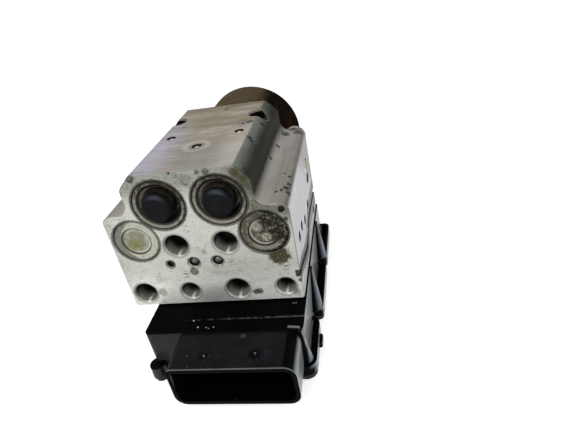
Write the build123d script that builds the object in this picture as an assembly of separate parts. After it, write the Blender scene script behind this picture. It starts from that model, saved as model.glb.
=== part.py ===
"""Anti-lock brake module: a drilled aluminium valve block with its pump motor behind it
and its electronic control unit underneath.

X runs to the right, Y backwards towards the motor and Z up, in millimetres.
The origin lies on the underside of the control unit, below the block's centre plane (X = 0)
and in the plane of the block's machined port face (Y = 0).
"""
from build123d import *
import os
from math import cos, radians, sin

# ---------------------------------------------------------------- driving dimensions (mm)
# clearances
FIT_GAP = 0.05          # radial gap of a staked or pressed piece in its bore
RUN_GAP = 0.03          # radial running clearance of shafts and pistons
SEAT_GAP = 0.3          # gap between curved pieces of different bodies
FLANGE_SHARE = 1.12     # a screw's flange against its head

# control unit
COVER_FLOOR = 2.0
COVER_HEIGHT = 3.5
FLANGE_THICKNESS = 5.5
ECU_WALL_HEIGHT = 17.2
GASKET_THICKNESS = 0.8
ECU_WIDTH = 76.0
ECU_SIDE_REACH = 0.5    # right wall outside the block's right face
ECU_FRONT = -20.0
ECU_OVERHANG = 5.0      # unit's back wall behind the block
ECU_WALL = 2.2
ECU_DECK = 2.5
ECU_CORNER = 3.0
RIM_REACH = 5.5         # how far the foot rim stands out from the side walls
FRONT_RIM_REACH = 4.2   # the same for the front section, on the right only
RIM_ROOT = 7.4          # and how far its sections reach in under the side walls
FRONT_RIM_CORNER = 5.6  # plan corners of the front section and of the others
RIM_CORNER = 3.4
RIM_WALL = 1.3
RIM_POCKET_DEPTH = 4.2
RIM_POCKET_LEAD = 5.5   # solid front end of each rim section before its trough
RIM_POCKET_CORNER = 1.3
RIM_FRONT = -26.4       # foot rim: its ends and the two gaps between its sections, along Y
RIM_GAPS = ((7.0, 12.0), (52.5, 57.5))
RIM_TAIL = 2.0          # rim's end behind the back wall
SMALL_LUG_RADIUS = 4.0  # lug under the left front corner, its centre in from the left wall and ahead
SMALL_LUG_INSET = 2.6
SMALL_LUG_REACH = 1.8
NUB_RADIUS = 2.6        # cover's locating nub beside the small lug
NUB_INSET = 0.4
NUB_REACH = 1.4
NUB_LIFT = 0.3          # underside of both above the cover's
CORNER_BOSS_FOOT = 3.9  # upright tapered boss on the right front corner
CORNER_BOSS_TOP = 1.4
BOSS_FOOT_RADIUS = 5.4  # leaning bosses on the side walls
BOSS_TOP_RADIUS = 1.5
BOSS_LEAN = 10.0
FIRST_BOSS = 15.0
LAST_BOSS_INSET = 28.0  # last boss in front of the block's back face
STEP_INSET = 1.8        # low step of the deck: in from the shroud's left side, back edge and drop
STEP_BACK = -11.1
STEP_DROP = 0.6
LEDGE_INSET = 1.8       # raised ledge on the deck's front edge: in from the right wall, its width
LEDGE_WIDTH = 6.2
LEDGE_DEPTH = 2.8
LEDGE_RISE = 0.6
TAB_START = -9.6        # small tab outside the front rim section on the right
TAB_END = -2.8
TAB_REACH = 1.6
TAB_HEIGHT = 2.6
TAB_CORNER = 1.3
COVER_INSET = 0.6
SCREW_INSET = 4.5       # fixing screws, in from the outer side walls
SCREW_ROW_INSET = 22.0  # screw rows, in from the block's front and back faces
SCREW_RADIUS = 2.4
SCREW_HEAD_RADIUS = 4.2
SCREW_HEAD_HEIGHT = 2.6
SCREW_GRIP = 10.0       # thread length in the block
TOWER_RADIUS = 4.3
BOARD_THICKNESS = 1.6
BOARD_LIFT = 3.0        # circuit board above the cover floor
CHIPS = ((1.0, 37.0, 14.0, 1.8), (18.5, 61.0, 9.6, 1.6))   # x, y, side, height
PILLAR_INSET = 8.0      # posts of the cover, in from the outer walls
PILLAR_RADIUS = 1.8

# connector shroud
SHROUD_WIDTH = 57.0
SHROUD_INSET = 1.5      # in from the unit's right wall
SHROUD_REACH = 21.0     # from the unit's front wall to the mouth
SHROUD_WALL = 1.9
SHROUD_HEIGHT = 22.0
SHROUD_CORNER = 5.5
SHROUD_TIGHT_CORNER = 2.6
SHROUD_PITS = (15.5, 38.1)   # from the shroud's left side
SHROUD_PIT_REACH = 13.6
PIN_SIZE = 0.64
PIN_PITCH = 3.1
PIN_COUNT = 10
PIN_ROWS = 2
WIDE_PIN_WIDTH = 2.6
WIDE_PIN_THICKNESS = 0.8
PIN_LENGTH = 10.0       # free length inside the shroud
FIRST_WIDE_PIN = 11.5   # from the shroud's left side
WIDE_PIN_PITCH = 6.0
FIRST_PIN = 22.7
PIN_TOP_DROP = 4.4
PIN_ROW_PITCH = 4.6

# valve block
BLOCK_HALF_WIDTH = 43.5
BLOCK_HEIGHT = 71.6
BLOCK_DEPTH = 88.0
SHOULDER_WIDTH = 13.8
CROWN_CHAMFER = 6.4
CROWN_STAND = 19.2      # crown above the shoulders
CROWN_RADIUS = 1.6      # roundings at the chamfer's upper and lower ends
NECK_RADIUS = 4.2
SHOULDER_RADIUS = 4.2
NECK_FILLET = 6.0
FOOT_RADIUS = 1.4
GROOVE_RADIUS = 1.8     # round-bottomed channel along the right side face, as (y, height) points
GROOVE_PATH = ((-2.0, 15.2), (8.0, 14.2), (24.0, 9.4), (33.0, 8.2), (43.0, 12.4), (53.0, 14.4))
EDGE_BREAK = 0.4        # chamfer round the front and back faces

# drillings closed by pressed balls
FRONT_BALL_X = 5.8
FRONT_BALL_DROP = 9.9   # below the master ports
FRONT_BALL_RADIUS = 2.3
TOP_BALL_PLACES = ((0, 27.4, 1.9), (-17.6, 41.8, 1.7), (17.6, 41.8, 1.7))   # x, y, ball radius
SIDE_BALL_ROW = ((53.8, 20.7), (36.5, 21.6), (24.2, 25.5), (14.0, 26.0))    # y, height
LOW_SIDE_BALL_INSET = 13.5
LOW_SIDE_BALL_HEIGHT = 5.0
SIDE_BALL_RADIUS = 1.6
SIDE_BALL_SINK = 1.6    # how deep a plug's ball lies below the side faces
BALL_SINK = 0.35        # and below the others
BALL_MOUTH = 0.8        # how much wider the drilling's chamfer is
DIMPLE_RADIUS = 1.9
DIMPLE_X = -17.6
DIMPLE_DROP = 10.1      # below the master ports
CROWN_DIMPLE_X = 2.4
CROWN_DIMPLE_INSET = 7.8
CROWN_DIMPLE_RADIUS = 1.3

# hydraulic ports: thread core radius, place across the block, height above its base
PORT_DEPTH = 12.0
PORT_CHAMFER = 0.75
DRILLING_RADIUS = 1.75
DRILLING_REACH = 2.4
M12_CORE = 5.5
M10_CORE = 4.5
MASTER_PORT_INSET = 18.7    # between the dampers' axes and the master ports', across
MASTER_PORT_DROP = 21.6 # below the accumulators' axes
WHEEL_PORT_HEIGHT = 7.8
WHEEL_PORT_INNER_X = 12.0
WHEEL_PORT_INSET = 7.9  # outer ports, in from the side faces
BRACKET_HOLE_EDGE = 0.3 # hole axes inside the crown's edges
BRACKET_HOLE_INSET = 21.0   # in front of the back face
BRACKET_HOLE_RADIUS = 5.1
BRACKET_HOLE_DEPTH = 15.0

# low-pressure accumulators
ACCUMULATOR_WEB = 2.8   # between the two mouths
ACCUMULATOR_WALL = 3.3  # between a mouth and the neck's side
ACCUMULATOR_DROP = 15.4 # axes below the crown
ACCUMULATOR_LAND = 2.4  # step from the mouth down to the bore
ACCUMULATOR_DEPTH = 36.0
ACCUMULATOR_PISTON_LENGTH = 10.0
COVER_FLANGE_BACK = 2.6
COVER_SKIRT_END = 8.0
CUP_FLOOR_FRONT = 4.2
CUP_FLOOR_BACK = 5.6
SEAL_SECTION = 1.6
SEAL_LEAD = 3.2         # seal in front of the bore's end
ACCUMULATOR_PISTON_WALL = 2.4
ACCUMULATOR_COIL_GAP = 0.7
ACCUMULATOR_WIRE = 1.4
ACCUMULATOR_TURNS = 5
CAP_INSET = 5.3         # cap's rim inside the mouth
CAP_LEAD = 3.4          # cap's crown stands this far in front of the port face
CAP_STEM_RADIUS = 3.8

# pulsation dampers
DAMPER_INSET = 13.0     # axes in from the side faces
DAMPER_DROP = 17.7      # axes below the accumulators'
DAMPER_MOUTH = 11.2
DAMPER_BORE = 9.6
DAMPER_PLUG_LENGTH = 6.0
DAMPER_DEPTH = 21.0
DAMPER_RIB_GAP = 0.4    # ribbed element: ribs to the bore, and their height
DAMPER_RIB_HEIGHT = 1.8
DAMPER_RIB_EDGE = 0.6

# pump
PUMP_SETBACK = 18.5     # pump axis in front of the block's back face
MOTOR_LIFT = 0.4        # motor's mouth above the block's base
ECCENTRICITY = 1.2
SHAFT_RADIUS = 4.0
ECCENTRIC_RADIUS = 6.5
RING_RADIUS = 9.5
RING_WIDTH = 7.0
CAVITY_RADIUS = 13.5
CAVITY_LEAD = 7.5       # cavity's front end before the pump axis
TAIL_BEARING_DEPTH = 6.0
TAIL_BEARING_RADIUS = 6.5
PISTON_RADIUS = 4.0
SPRING_ROOM = 7.7       # from the piston's end to the sleeve's
ORBIT_GAP = 0.1         # piston foot to the ring's orbit
SLEEVE_RADIUS = 6.4
SLEEVE_LEAD = 1.0       # sleeve's inner end outside the cavity
PLUG_NOSE = 1.7         # plug's nose past its shoulder, to the sleeve
PLUG_RADIUS = 7.2
PLUG_LENGTH = 6.5
PLUG_SINK = 0.8
PUMP_COIL_RADIUS = 3.1
PUMP_WIRE = 0.8
PUMP_TURNS = 4
PUMP_BALL_RADIUS = 1.6

# solenoid valves, in two columns of four under the block
VALVE_COLUMN_OFFSET = 17.5
VALVE_FIRST_Y = 24.0
VALVE_LAST_INSET = 8.5  # last row in front of the block's back face
VALVE_ROWS = 4
VALVE_BORE = 5.3
VALVE_STAKE_RADIUS = 6.6
VALVE_STAKE_DEPTH = 2.0
VALVE_DEPTH = 18.0
VALVE_STEM_RADIUS = 4.4
VALVE_STEM_LENGTH = 16.5
COIL_SPACING = 0.5      # between neighbouring coils
COIL_CLEARANCE = 0.3

# motor
MOTOR_RADIUS = 32.8
MOTOR_WALL = 1.8
MOTOR_LENGTH = 56.2
MOTOR_END_ROUND = 4.5
END_PLATE_THICKNESS = 3.0
EAR_ANGLE = 19.5        # degrees, line through the screws against the horizontal
EAR_GAP = 0.37          # screw's flange to the can's mouth
EAR_RADIUS = 6.4
EAR_SCREW_HEAD = 4.6
EAR_SCREW_HEAD_HEIGHT = 4.0
EAR_SCREW_RADIUS = 2.5
EAR_SCREW_GRIP = 13.0
BEARING_RADIUS = 11.0
BEARING_WIDTH = 7.0
BEARING_SPLIT = 8.4     # inside radius of the bearing's outer ring
REAR_BUSH_RADIUS = 7.0
BOSS_RADIUS = 9.5       # bearing boss on the can's closed end
BOSS_REACH = 4.5
MOUTH_LIP = 0.8
MAGNET_THICKNESS = 4.0
MAGNET_LENGTH = 38.0
MAGNET_ARC = 142.0
AIR_GAP = 0.6
STACK_LENGTH = 36.0
SLOT_COUNT = 12
SLOT_WIDTH = 3.6
SLOT_DEPTH = 8.5
COMMUTATOR_RADIUS = 9.5
COMMUTATOR_LENGTH = 8.0
BRUSH_WIDTH = 6.0
BRUSH_LENGTH = 9.0
HOLDER_THICKNESS = 2.0
GUIDE_REACH = 25.0      # outer ends of the brush guides from the axis
END_TURN = 3.0          # reach of the windings past the stack at its back
TERMINAL_X = 3.5

# ---------------------------------------------------------------- derived levels
ECU_RIGHT = BLOCK_HALF_WIDTH + ECU_SIDE_REACH
ECU_LEFT = ECU_RIGHT - ECU_WIDTH
SHROUD_RIGHT = ECU_RIGHT - SHROUD_INSET
SHROUD_LEFT = SHROUD_RIGHT - SHROUD_WIDTH
SHROUD_PIT_XS = tuple(SHROUD_LEFT + x for x in SHROUD_PITS)
STEP_LEFT = SHROUD_LEFT + STEP_INSET
LEDGE_RIGHT = ECU_RIGHT - LEDGE_INSET
LEDGE_LEFT = LEDGE_RIGHT - LEDGE_WIDTH
ECU_BACK = BLOCK_DEPTH + ECU_OVERHANG
RIM_BACK = ECU_BACK + RIM_TAIL
RIM_STARTS = (RIM_FRONT, RIM_GAPS[0][1], RIM_GAPS[1][1])
RIM_ENDS = (RIM_GAPS[0][0], RIM_GAPS[1][0], RIM_BACK)
RIM_SECTIONS = tuple(zip(RIM_STARTS, RIM_ENDS))
RIM_SHAPES = ((FRONT_RIM_REACH, FRONT_RIM_CORNER), (RIM_REACH, RIM_CORNER), (RIM_REACH, RIM_CORNER))
BOSS_FEET = (FIRST_BOSS, BLOCK_DEPTH - LAST_BOSS_INSET)
FLANGE_BASE = COVER_HEIGHT
FLANGE_TOP = FLANGE_BASE + FLANGE_THICKNESS
ECU_TOP = FLANGE_TOP + ECU_WALL_HEIGHT
BLOCK_BASE = ECU_TOP + GASKET_THICKNESS
DECK_UNDERSIDE = ECU_TOP - ECU_DECK
ECU_CENTRE_X = (ECU_LEFT + ECU_RIGHT) / 2
ECU_CENTRE_Y = (ECU_FRONT + ECU_BACK) / 2
BOARD_BASE = COVER_FLOOR + BOARD_LIFT
BOARD_TOP = BOARD_BASE + BOARD_THICKNESS
NECK_HALF_WIDTH = BLOCK_HALF_WIDTH - SHOULDER_WIDTH
CROWN_HALF_WIDTH = NECK_HALF_WIDTH - CROWN_CHAMFER
PUMP_HEIGHT = MOTOR_RADIUS + MOUTH_LIP + MOTOR_LIFT
AXIS_Z = BLOCK_BASE + PUMP_HEIGHT
SHOULDER_HEIGHT = BLOCK_HEIGHT - CROWN_STAND
ACCUMULATOR_MOUTH = (NECK_HALF_WIDTH - ACCUMULATOR_WALL - ACCUMULATOR_WEB / 2) / 2
ACCUMULATOR_X = ACCUMULATOR_WEB / 2 + ACCUMULATOR_MOUTH
ACCUMULATOR_BORE = ACCUMULATOR_MOUTH - ACCUMULATOR_LAND
CAP_RADIUS = ACCUMULATOR_MOUTH - CAP_INSET
PISTON_HOLLOW = ACCUMULATOR_BORE - RUN_GAP - ACCUMULATOR_PISTON_WALL
ACCUMULATOR_COIL_RADIUS = PISTON_HOLLOW - ACCUMULATOR_COIL_GAP - ACCUMULATOR_WIRE * 0.55
DAMPER_X = BLOCK_HALF_WIDTH - DAMPER_INSET
MASTER_PORT_X = DAMPER_X - MASTER_PORT_INSET
WHEEL_PORT_OUTER_X = BLOCK_HALF_WIDTH - WHEEL_PORT_INSET
BRACKET_HOLE_X = CROWN_HALF_WIDTH - BRACKET_HOLE_EDGE
ACCUMULATOR_HEIGHT = BLOCK_HEIGHT - ACCUMULATOR_DROP
DAMPER_HEIGHT = ACCUMULATOR_HEIGHT - DAMPER_DROP
MASTER_PORT_HEIGHT = ACCUMULATOR_HEIGHT - MASTER_PORT_DROP
FRONT_BALL_HEIGHT = MASTER_PORT_HEIGHT - FRONT_BALL_DROP
DIMPLE_HEIGHT = MASTER_PORT_HEIGHT - DIMPLE_DROP
SEAL_Y = ACCUMULATOR_DEPTH - SEAL_LEAD
BRACKET_HOLE_Y = BLOCK_DEPTH - BRACKET_HOLE_INSET
SIDE_BALL_PLACES = SIDE_BALL_ROW + ((BLOCK_DEPTH - LOW_SIDE_BALL_INSET, LOW_SIDE_BALL_HEIGHT),)
FRONT_BALLS = tuple((x, 0, FRONT_BALL_HEIGHT, FRONT_BALL_RADIUS) for x in (-FRONT_BALL_X, FRONT_BALL_X))
TOP_BALLS = tuple((x, y, BLOCK_HEIGHT, radius) for x, y, radius in TOP_BALL_PLACES)
PUMP_Y = BLOCK_DEPTH - PUMP_SETBACK
CAVITY_FRONT = PUMP_Y - CAVITY_LEAD
TAIL_FRONT = CAVITY_FRONT - TAIL_BEARING_DEPTH
SHROUD_TOP = ECU_TOP - STEP_DROP
SCREW_ROWS = (SCREW_ROW_INSET, BLOCK_DEPTH - SCREW_ROW_INSET)
SCREW_XS = (ECU_LEFT + SCREW_INSET, ECU_RIGHT - SCREW_INSET)
VALVE_XS = (ECU_CENTRE_X - VALVE_COLUMN_OFFSET, ECU_CENTRE_X + VALVE_COLUMN_OFFSET)
VALVE_PITCH = (BLOCK_DEPTH - VALVE_LAST_INSET - VALVE_FIRST_Y) / (VALVE_ROWS - 1)
COIL_RADIUS = (VALVE_PITCH - COIL_SPACING) / 2
VALVE_YS = tuple(VALVE_FIRST_Y + VALVE_PITCH * i for i in range(VALVE_ROWS))
PISTON_FACE = RING_RADIUS + ECCENTRICITY + ORBIT_GAP
SLEEVE_START = CAVITY_RADIUS + SLEEVE_LEAD
SLEEVE_END = BLOCK_HALF_WIDTH - PLUG_SINK - PLUG_LENGTH - PLUG_NOSE
PISTON_LENGTH = SLEEVE_END - SPRING_ROOM - PISTON_FACE
EAR_REACH = MOTOR_RADIUS + MOUTH_LIP + EAR_GAP + EAR_SCREW_HEAD * FLANGE_SHARE
EAR_X = EAR_REACH * cos(radians(EAR_ANGLE))
EAR_RISE = EAR_REACH * sin(radians(EAR_ANGLE))
END_PLATE_BACK = BLOCK_DEPTH + END_PLATE_THICKNESS
MOTOR_END = END_PLATE_BACK + MOTOR_LENGTH
MAGNET_RADIUS = MOTOR_RADIUS - MOTOR_WALL
ARMATURE_RADIUS = MAGNET_RADIUS - MAGNET_THICKNESS - AIR_GAP
COMMUTATOR_FRONT = END_PLATE_BACK + 1.0
STACK_FRONT = COMMUTATOR_FRONT + COMMUTATOR_LENGTH + 3.0
STACK_BACK = STACK_FRONT + STACK_LENGTH
BEARING_FRONT = BLOCK_DEPTH - BEARING_WIDTH - 1.0
REAR_BUSH_FRONT = MOTOR_END - 5.0
SIDES = {"left": -1, "right": 1}


# ---------------------------------------------------------------- small helpers
def rod_x(radius, x0, x1, y, z):
    """Cylinder along X from x0 to x1."""
    return Pos((x0 + x1) / 2, y, z) * Rot(0, 90, 0) * Cylinder(radius, abs(x1 - x0))


def rod_y(radius, y0, y1, x, z):
    """Cylinder along Y from y0 to y1."""
    return Pos(x, (y0 + y1) / 2, z) * Rot(90, 0, 0) * Cylinder(radius, abs(y1 - y0))


def rod_z(radius, z0, z1, x, y):
    """Cylinder along Z from z0 to z1."""
    return Pos(x, y, (z0 + z1) / 2) * Cylinder(radius, abs(z1 - z0))


def block(x0, x1, y0, y1, z0, z1):
    """Rectangular solid between two corners."""
    size = Box(x1 - x0, y1 - y0, z1 - z0)
    return Pos((x0 + x1) / 2, (y0 + y1) / 2, (z0 + z1) / 2) * size


def turned_y(profile, x, z):
    """Solid turned about an axis along Y: the profile holds (radius, y) pairs."""
    face = make_face(Polyline(*profile, close=True))
    return Pos(x, 0, z) * revolve(face, Axis.Y)


def turned_x(profile, y, z):
    """Solid turned about an axis along X: the profile holds (x, radius) pairs."""
    face = make_face(Polyline(*profile, close=True))
    return Pos(0, y, z) * revolve(face, Axis.X)


def turned_z(profile, x, y):
    """Solid turned about an axis along Z: the profile holds (radius, z) pairs."""
    face = Plane.XZ * make_face(Polyline(*profile, close=True))
    return Pos(x, y, 0) * revolve(face, Axis.Z)


def rounded_slab(x0, x1, y0, y1, z0, z1, radius):
    """Slab with rounded vertical corners."""
    outline = Pos((x0 + x1) / 2, (y0 + y1) / 2) * RectangleRounded(x1 - x0, y1 - y0, radius)
    return Pos(0, 0, z0) * extrude(outline, amount=z1 - z0)


def fuse(pieces):
    """One solid out of touching pieces."""
    whole = pieces[0]
    for piece in pieces[1:]:
        whole = whole + piece
    return whole


def group(pieces):
    """Separate solids that share one node."""
    return Compound(children=list(pieces))


def save(name, shape):
    """Write one sub-part."""
    export_step(shape, f"parts/{name}.step")


# ---------------------------------------------------------------- valve block
def block_profile():
    """Half-symmetric section of the extrusion: crown, chamfers, neck, shoulders and foot."""
    top = BLOCK_HEIGHT
    half = [
        (0, 0),
        (BLOCK_HALF_WIDTH, 0),
        (BLOCK_HALF_WIDTH, SHOULDER_HEIGHT),
        (NECK_HALF_WIDTH, SHOULDER_HEIGHT),
        (NECK_HALF_WIDTH, top - CROWN_CHAMFER),
        (CROWN_HALF_WIDTH, top),
        (0, top),
    ]
    face = make_face(Polyline(*half, close=True))
    corners = face.vertices()
    foot = corners.sort_by_distance((BLOCK_HALF_WIDTH, 0, 0))[0]
    face = fillet(foot, FOOT_RADIUS)
    brow = face.vertices().sort_by_distance((BLOCK_HALF_WIDTH, SHOULDER_HEIGHT, 0))[0]
    face = fillet(brow, SHOULDER_RADIUS)
    root = face.vertices().sort_by_distance((NECK_HALF_WIDTH, SHOULDER_HEIGHT, 0))[0]
    face = fillet(root, NECK_FILLET)
    rounded = ((NECK_HALF_WIDTH, top - CROWN_CHAMFER, NECK_RADIUS), (CROWN_HALF_WIDTH, top, CROWN_RADIUS))
    for x, y, radius in rounded:
        corner = face.vertices().sort_by_distance((x, y, 0))[0]
        face = fillet(corner, radius)
    return face + mirror(face, Plane.YZ)


def side_groove():
    """Round-bottomed channel that wanders along the right side face to the block's back."""
    x = BLOCK_HALF_WIDTH
    points = GROOVE_PATH + ((BLOCK_DEPTH + 2.0, GROOVE_PATH[-1][1] - 2.6),)
    path = [Vector(x, y, BLOCK_BASE + height) for y, height in points]
    channel = Pos(*path[0]) * Sphere(GROOVE_RADIUS)
    for start, end in zip(path, path[1:]):
        run = end - start
        section = Plane(origin=start, z_dir=run) * Circle(GROOVE_RADIUS)
        channel = channel + extrude(section, amount=run.length) + Pos(*end) * Sphere(GROOVE_RADIUS)
    return channel


def port_cutter(x, height, core):
    """Threaded port with a chamfered mouth, a drill-point seat and the drilling behind it."""
    seat_end = PORT_DEPTH + (core - DRILLING_RADIUS) * 0.6
    profile = [
        (0, -1.0),
        (core + PORT_CHAMFER + 1.0, -1.0),
        (core, PORT_CHAMFER),
        (core, PORT_DEPTH),
        (DRILLING_RADIUS, seat_end),
        (DRILLING_RADIUS, seat_end + DRILLING_REACH),
        (0, seat_end + DRILLING_REACH),
    ]
    return turned_y(profile, x, BLOCK_BASE + height)


def front_ports():
    """Every threaded port of the front face as (x, height, core radius)."""
    master = [(side * MASTER_PORT_X, MASTER_PORT_HEIGHT, M12_CORE) for side in (-1, 1)]
    wheel = [
        (-WHEEL_PORT_OUTER_X, WHEEL_PORT_HEIGHT, M12_CORE),
        (-WHEEL_PORT_INNER_X, WHEEL_PORT_HEIGHT, M10_CORE),
        (WHEEL_PORT_INNER_X, WHEEL_PORT_HEIGHT, M12_CORE),
        (WHEEL_PORT_OUTER_X, WHEEL_PORT_HEIGHT, M10_CORE),
    ]
    return master + wheel


def ball_bore_profile(radius, sink):
    """Half section of a plugged drilling: distance from the axis against depth."""
    return [
        (0, -0.5),
        (radius + BALL_MOUTH + 0.5, -0.5),
        (radius + FIT_GAP, BALL_MOUTH),
        (radius + FIT_GAP, 2 * radius + sink + 3.0),
        (0, 2 * radius + sink + 3.0),
    ]


def valve_block():
    """The drilled block: section, ports, accumulator, damper, pump, motor and valve bores."""
    body = extrude(Plane.XZ * block_profile(), amount=-BLOCK_DEPTH)
    rims = body.edges().group_by(Axis.Y)
    body = chamfer(rims[0] + rims[-1], EDGE_BREAK)
    body = Pos(0, 0, BLOCK_BASE) * body
    cuts = [port_cutter(*port) for port in front_ports()]
    cuts.append(side_groove())
    for side in (-1, 1):
        x = side * ACCUMULATOR_X
        z = BLOCK_BASE + ACCUMULATOR_HEIGHT
        cuts.append(turned_y([
            (0, -1), (ACCUMULATOR_MOUTH, -1), (ACCUMULATOR_MOUTH, COVER_FLANGE_BACK),
            (ACCUMULATOR_BORE, COVER_FLANGE_BACK), (ACCUMULATOR_BORE, ACCUMULATOR_DEPTH),
            (0, ACCUMULATOR_DEPTH + 3)], x, z))
        x = side * DAMPER_X
        z = BLOCK_BASE + DAMPER_HEIGHT
        cuts.append(turned_y([
            (0, -1), (DAMPER_MOUTH, -1), (DAMPER_MOUTH, DAMPER_PLUG_LENGTH),
            (DAMPER_BORE, DAMPER_PLUG_LENGTH), (DAMPER_BORE, DAMPER_DEPTH),
            (0, DAMPER_DEPTH + 3)], x, z))
        # stepped pump bore from the side face to the eccentric's cavity
        face = BLOCK_HALF_WIDTH
        plug_end = face - PLUG_SINK - PLUG_LENGTH
        steps = [
            (0, 0), (0, SLEEVE_RADIUS), (plug_end, SLEEVE_RADIUS), (plug_end, PLUG_RADIUS),
            (face + 1, PLUG_RADIUS), (face + 1, 0)]
        bore = turned_x(steps, PUMP_Y, AXIS_Z)
        cuts.append(bore if side > 0 else mirror(bore, Plane.YZ))
        # tapped bracket hole in the crown, cutting into the chamfer
        top = BLOCK_BASE + BLOCK_HEIGHT
        cuts.append(turned_z([
            (0, top + 1), (BRACKET_HOLE_RADIUS + 0.9, top + 1), (BRACKET_HOLE_RADIUS + 0.9, top),
            (BRACKET_HOLE_RADIUS, top - 0.9), (BRACKET_HOLE_RADIUS, top - BRACKET_HOLE_DEPTH),
            (0, top - BRACKET_HOLE_DEPTH - 3)], side * BRACKET_HOLE_X, BRACKET_HOLE_Y))
        # tapped hole for the motor's screw on this side
        cuts.append(rod_y(EAR_SCREW_RADIUS + FIT_GAP, BLOCK_DEPTH - EAR_SCREW_GRIP - 1, BLOCK_DEPTH + 1,
                          side * EAR_X, AXIS_Z + side * EAR_RISE))
        profile = ball_bore_profile(SIDE_BALL_RADIUS, SIDE_BALL_SINK)
        depths = [(side * (BLOCK_HALF_WIDTH - d), r) for r, d in profile]
        for y, height in SIDE_BALL_PLACES:
            cuts.append(turned_x(depths, y, BLOCK_BASE + height))
    for x, y, height, radius in FRONT_BALLS:
        cuts.append(turned_y(ball_bore_profile(radius, BALL_SINK), x, BLOCK_BASE + height))
    for x, y, height, radius in TOP_BALLS:
        depths = [(r, BLOCK_BASE + height - d) for r, d in ball_bore_profile(radius, BALL_SINK)]
        cuts.append(turned_z(depths, x, y))
    # plain drill dimples on the front face and on the crown
    cuts.append(turned_y([(0, -1), (DIMPLE_RADIUS, -1), (DIMPLE_RADIUS, 0.2), (0, 1.3)],
                         DIMPLE_X, BLOCK_BASE + DIMPLE_HEIGHT))
    top = BLOCK_BASE + BLOCK_HEIGHT
    radius = CROWN_DIMPLE_RADIUS
    cuts.append(turned_z([(0, top + 1), (radius, top + 1), (radius, top - 0.3), (0, top - 1.2)],
                         CROWN_DIMPLE_X, BLOCK_DEPTH - CROWN_DIMPLE_INSET))
    # stepped motor bore: tail bearing, eccentric cavity, front bearing
    cuts.append(turned_y([
        (0, TAIL_FRONT - 1.5), (TAIL_BEARING_RADIUS, TAIL_FRONT), (TAIL_BEARING_RADIUS, CAVITY_FRONT),
        (CAVITY_RADIUS, CAVITY_FRONT), (CAVITY_RADIUS, BEARING_FRONT), (BEARING_RADIUS, BEARING_FRONT),
        (BEARING_RADIUS, BLOCK_DEPTH + 1), (0, BLOCK_DEPTH + 1)], 0, AXIS_Z))
    for x in VALVE_XS:
        for y in VALVE_YS:
            base = BLOCK_BASE
            cuts.append(turned_z([
                (0, base - 1), (VALVE_STAKE_RADIUS, base - 1), (VALVE_STAKE_RADIUS, base + VALVE_STAKE_DEPTH),
                (VALVE_BORE, base + VALVE_STAKE_DEPTH), (VALVE_BORE, base + VALVE_DEPTH),
                (0, base + VALVE_DEPTH)], x, y))
    for x in SCREW_XS:
        for y in SCREW_ROWS:
            cuts.append(rod_z(SCREW_RADIUS + FIT_GAP, BLOCK_BASE - 1, BLOCK_BASE + SCREW_GRIP + 1, x, y))
    for cut in cuts:
        body = body - cut
    return body


def ball_plugs(places, direction):
    """Steel balls pressed into drillings, just below the face that direction points out of."""
    balls = []
    for x, y, height, radius in places:
        depth = radius + BALL_SINK
        shift = Vector(*direction) * -depth
        balls.append(Pos(x + shift.X, y + shift.Y, BLOCK_BASE + height + shift.Z) * Sphere(radius))
    return group(balls)


def side_ball_plugs():
    """The small plugs of both side faces."""
    balls = []
    for side in (-1, 1):
        for y, height in SIDE_BALL_PLACES:
            x = side * (BLOCK_HALF_WIDTH - SIDE_BALL_RADIUS - SIDE_BALL_SINK)
            balls.append(Pos(x, y, BLOCK_BASE + height) * Sphere(SIDE_BALL_RADIUS))
    return group(balls)


# ---------------------------------------------------------------- accumulators
def accumulator_cover(side):
    """Pressed steel cover staked in the mouth: rim, groove, sloping cup and guiding skirt."""
    rim = ACCUMULATOR_MOUTH - 0.3
    lip = ACCUMULATOR_MOUTH - 2.8
    skirt = ACCUMULATOR_BORE - FIT_GAP
    profile = [
        (CAP_STEM_RADIUS + FIT_GAP, CUP_FLOOR_FRONT),
        (CAP_RADIUS + 0.9, CUP_FLOOR_FRONT),
        (lip - 0.4, 0.9),
        (lip, 0.7),
        (lip + 0.1, 1.5),
        (lip + 0.6, 1.5),
        (lip + 0.7, 0.4),
        (rim - 0.4, 0.25),
        (rim, 0.8),
        (rim, COVER_FLANGE_BACK),
        (skirt, COVER_FLANGE_BACK),
        (skirt, COVER_SKIRT_END),
        (skirt - 1.2, COVER_SKIRT_END),
        (skirt - 1.2, CUP_FLOOR_BACK),
        (CAP_STEM_RADIUS + FIT_GAP, CUP_FLOOR_BACK),
    ]
    return turned_y(profile, side * ACCUMULATOR_X, BLOCK_BASE + ACCUMULATOR_HEIGHT)


def accumulator_cap(side):
    """Rubber breather cap: a domed head on a stem through the cover."""
    crown = Polyline((0, CUP_FLOOR_BACK + 1.0), (0, -CAP_LEAD), (CAP_RADIUS - 1.8, 0.1 - CAP_LEAD))
    shoulder = CenterArc((CAP_RADIUS - 1.8, 1.5 - CAP_LEAD), 1.4, -90, 80)
    tip = shoulder @ 1
    wall = Polyline(tip, (CAP_RADIUS, CUP_FLOOR_FRONT), (CAP_STEM_RADIUS, CUP_FLOOR_FRONT),
                    (CAP_STEM_RADIUS, CUP_FLOOR_BACK + 1.0), (0, CUP_FLOOR_BACK + 1.0))
    face = make_face([crown, shoulder, wall])
    return Pos(side * ACCUMULATOR_X, 0, BLOCK_BASE + ACCUMULATOR_HEIGHT) * revolve(face, Axis.Y)


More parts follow.
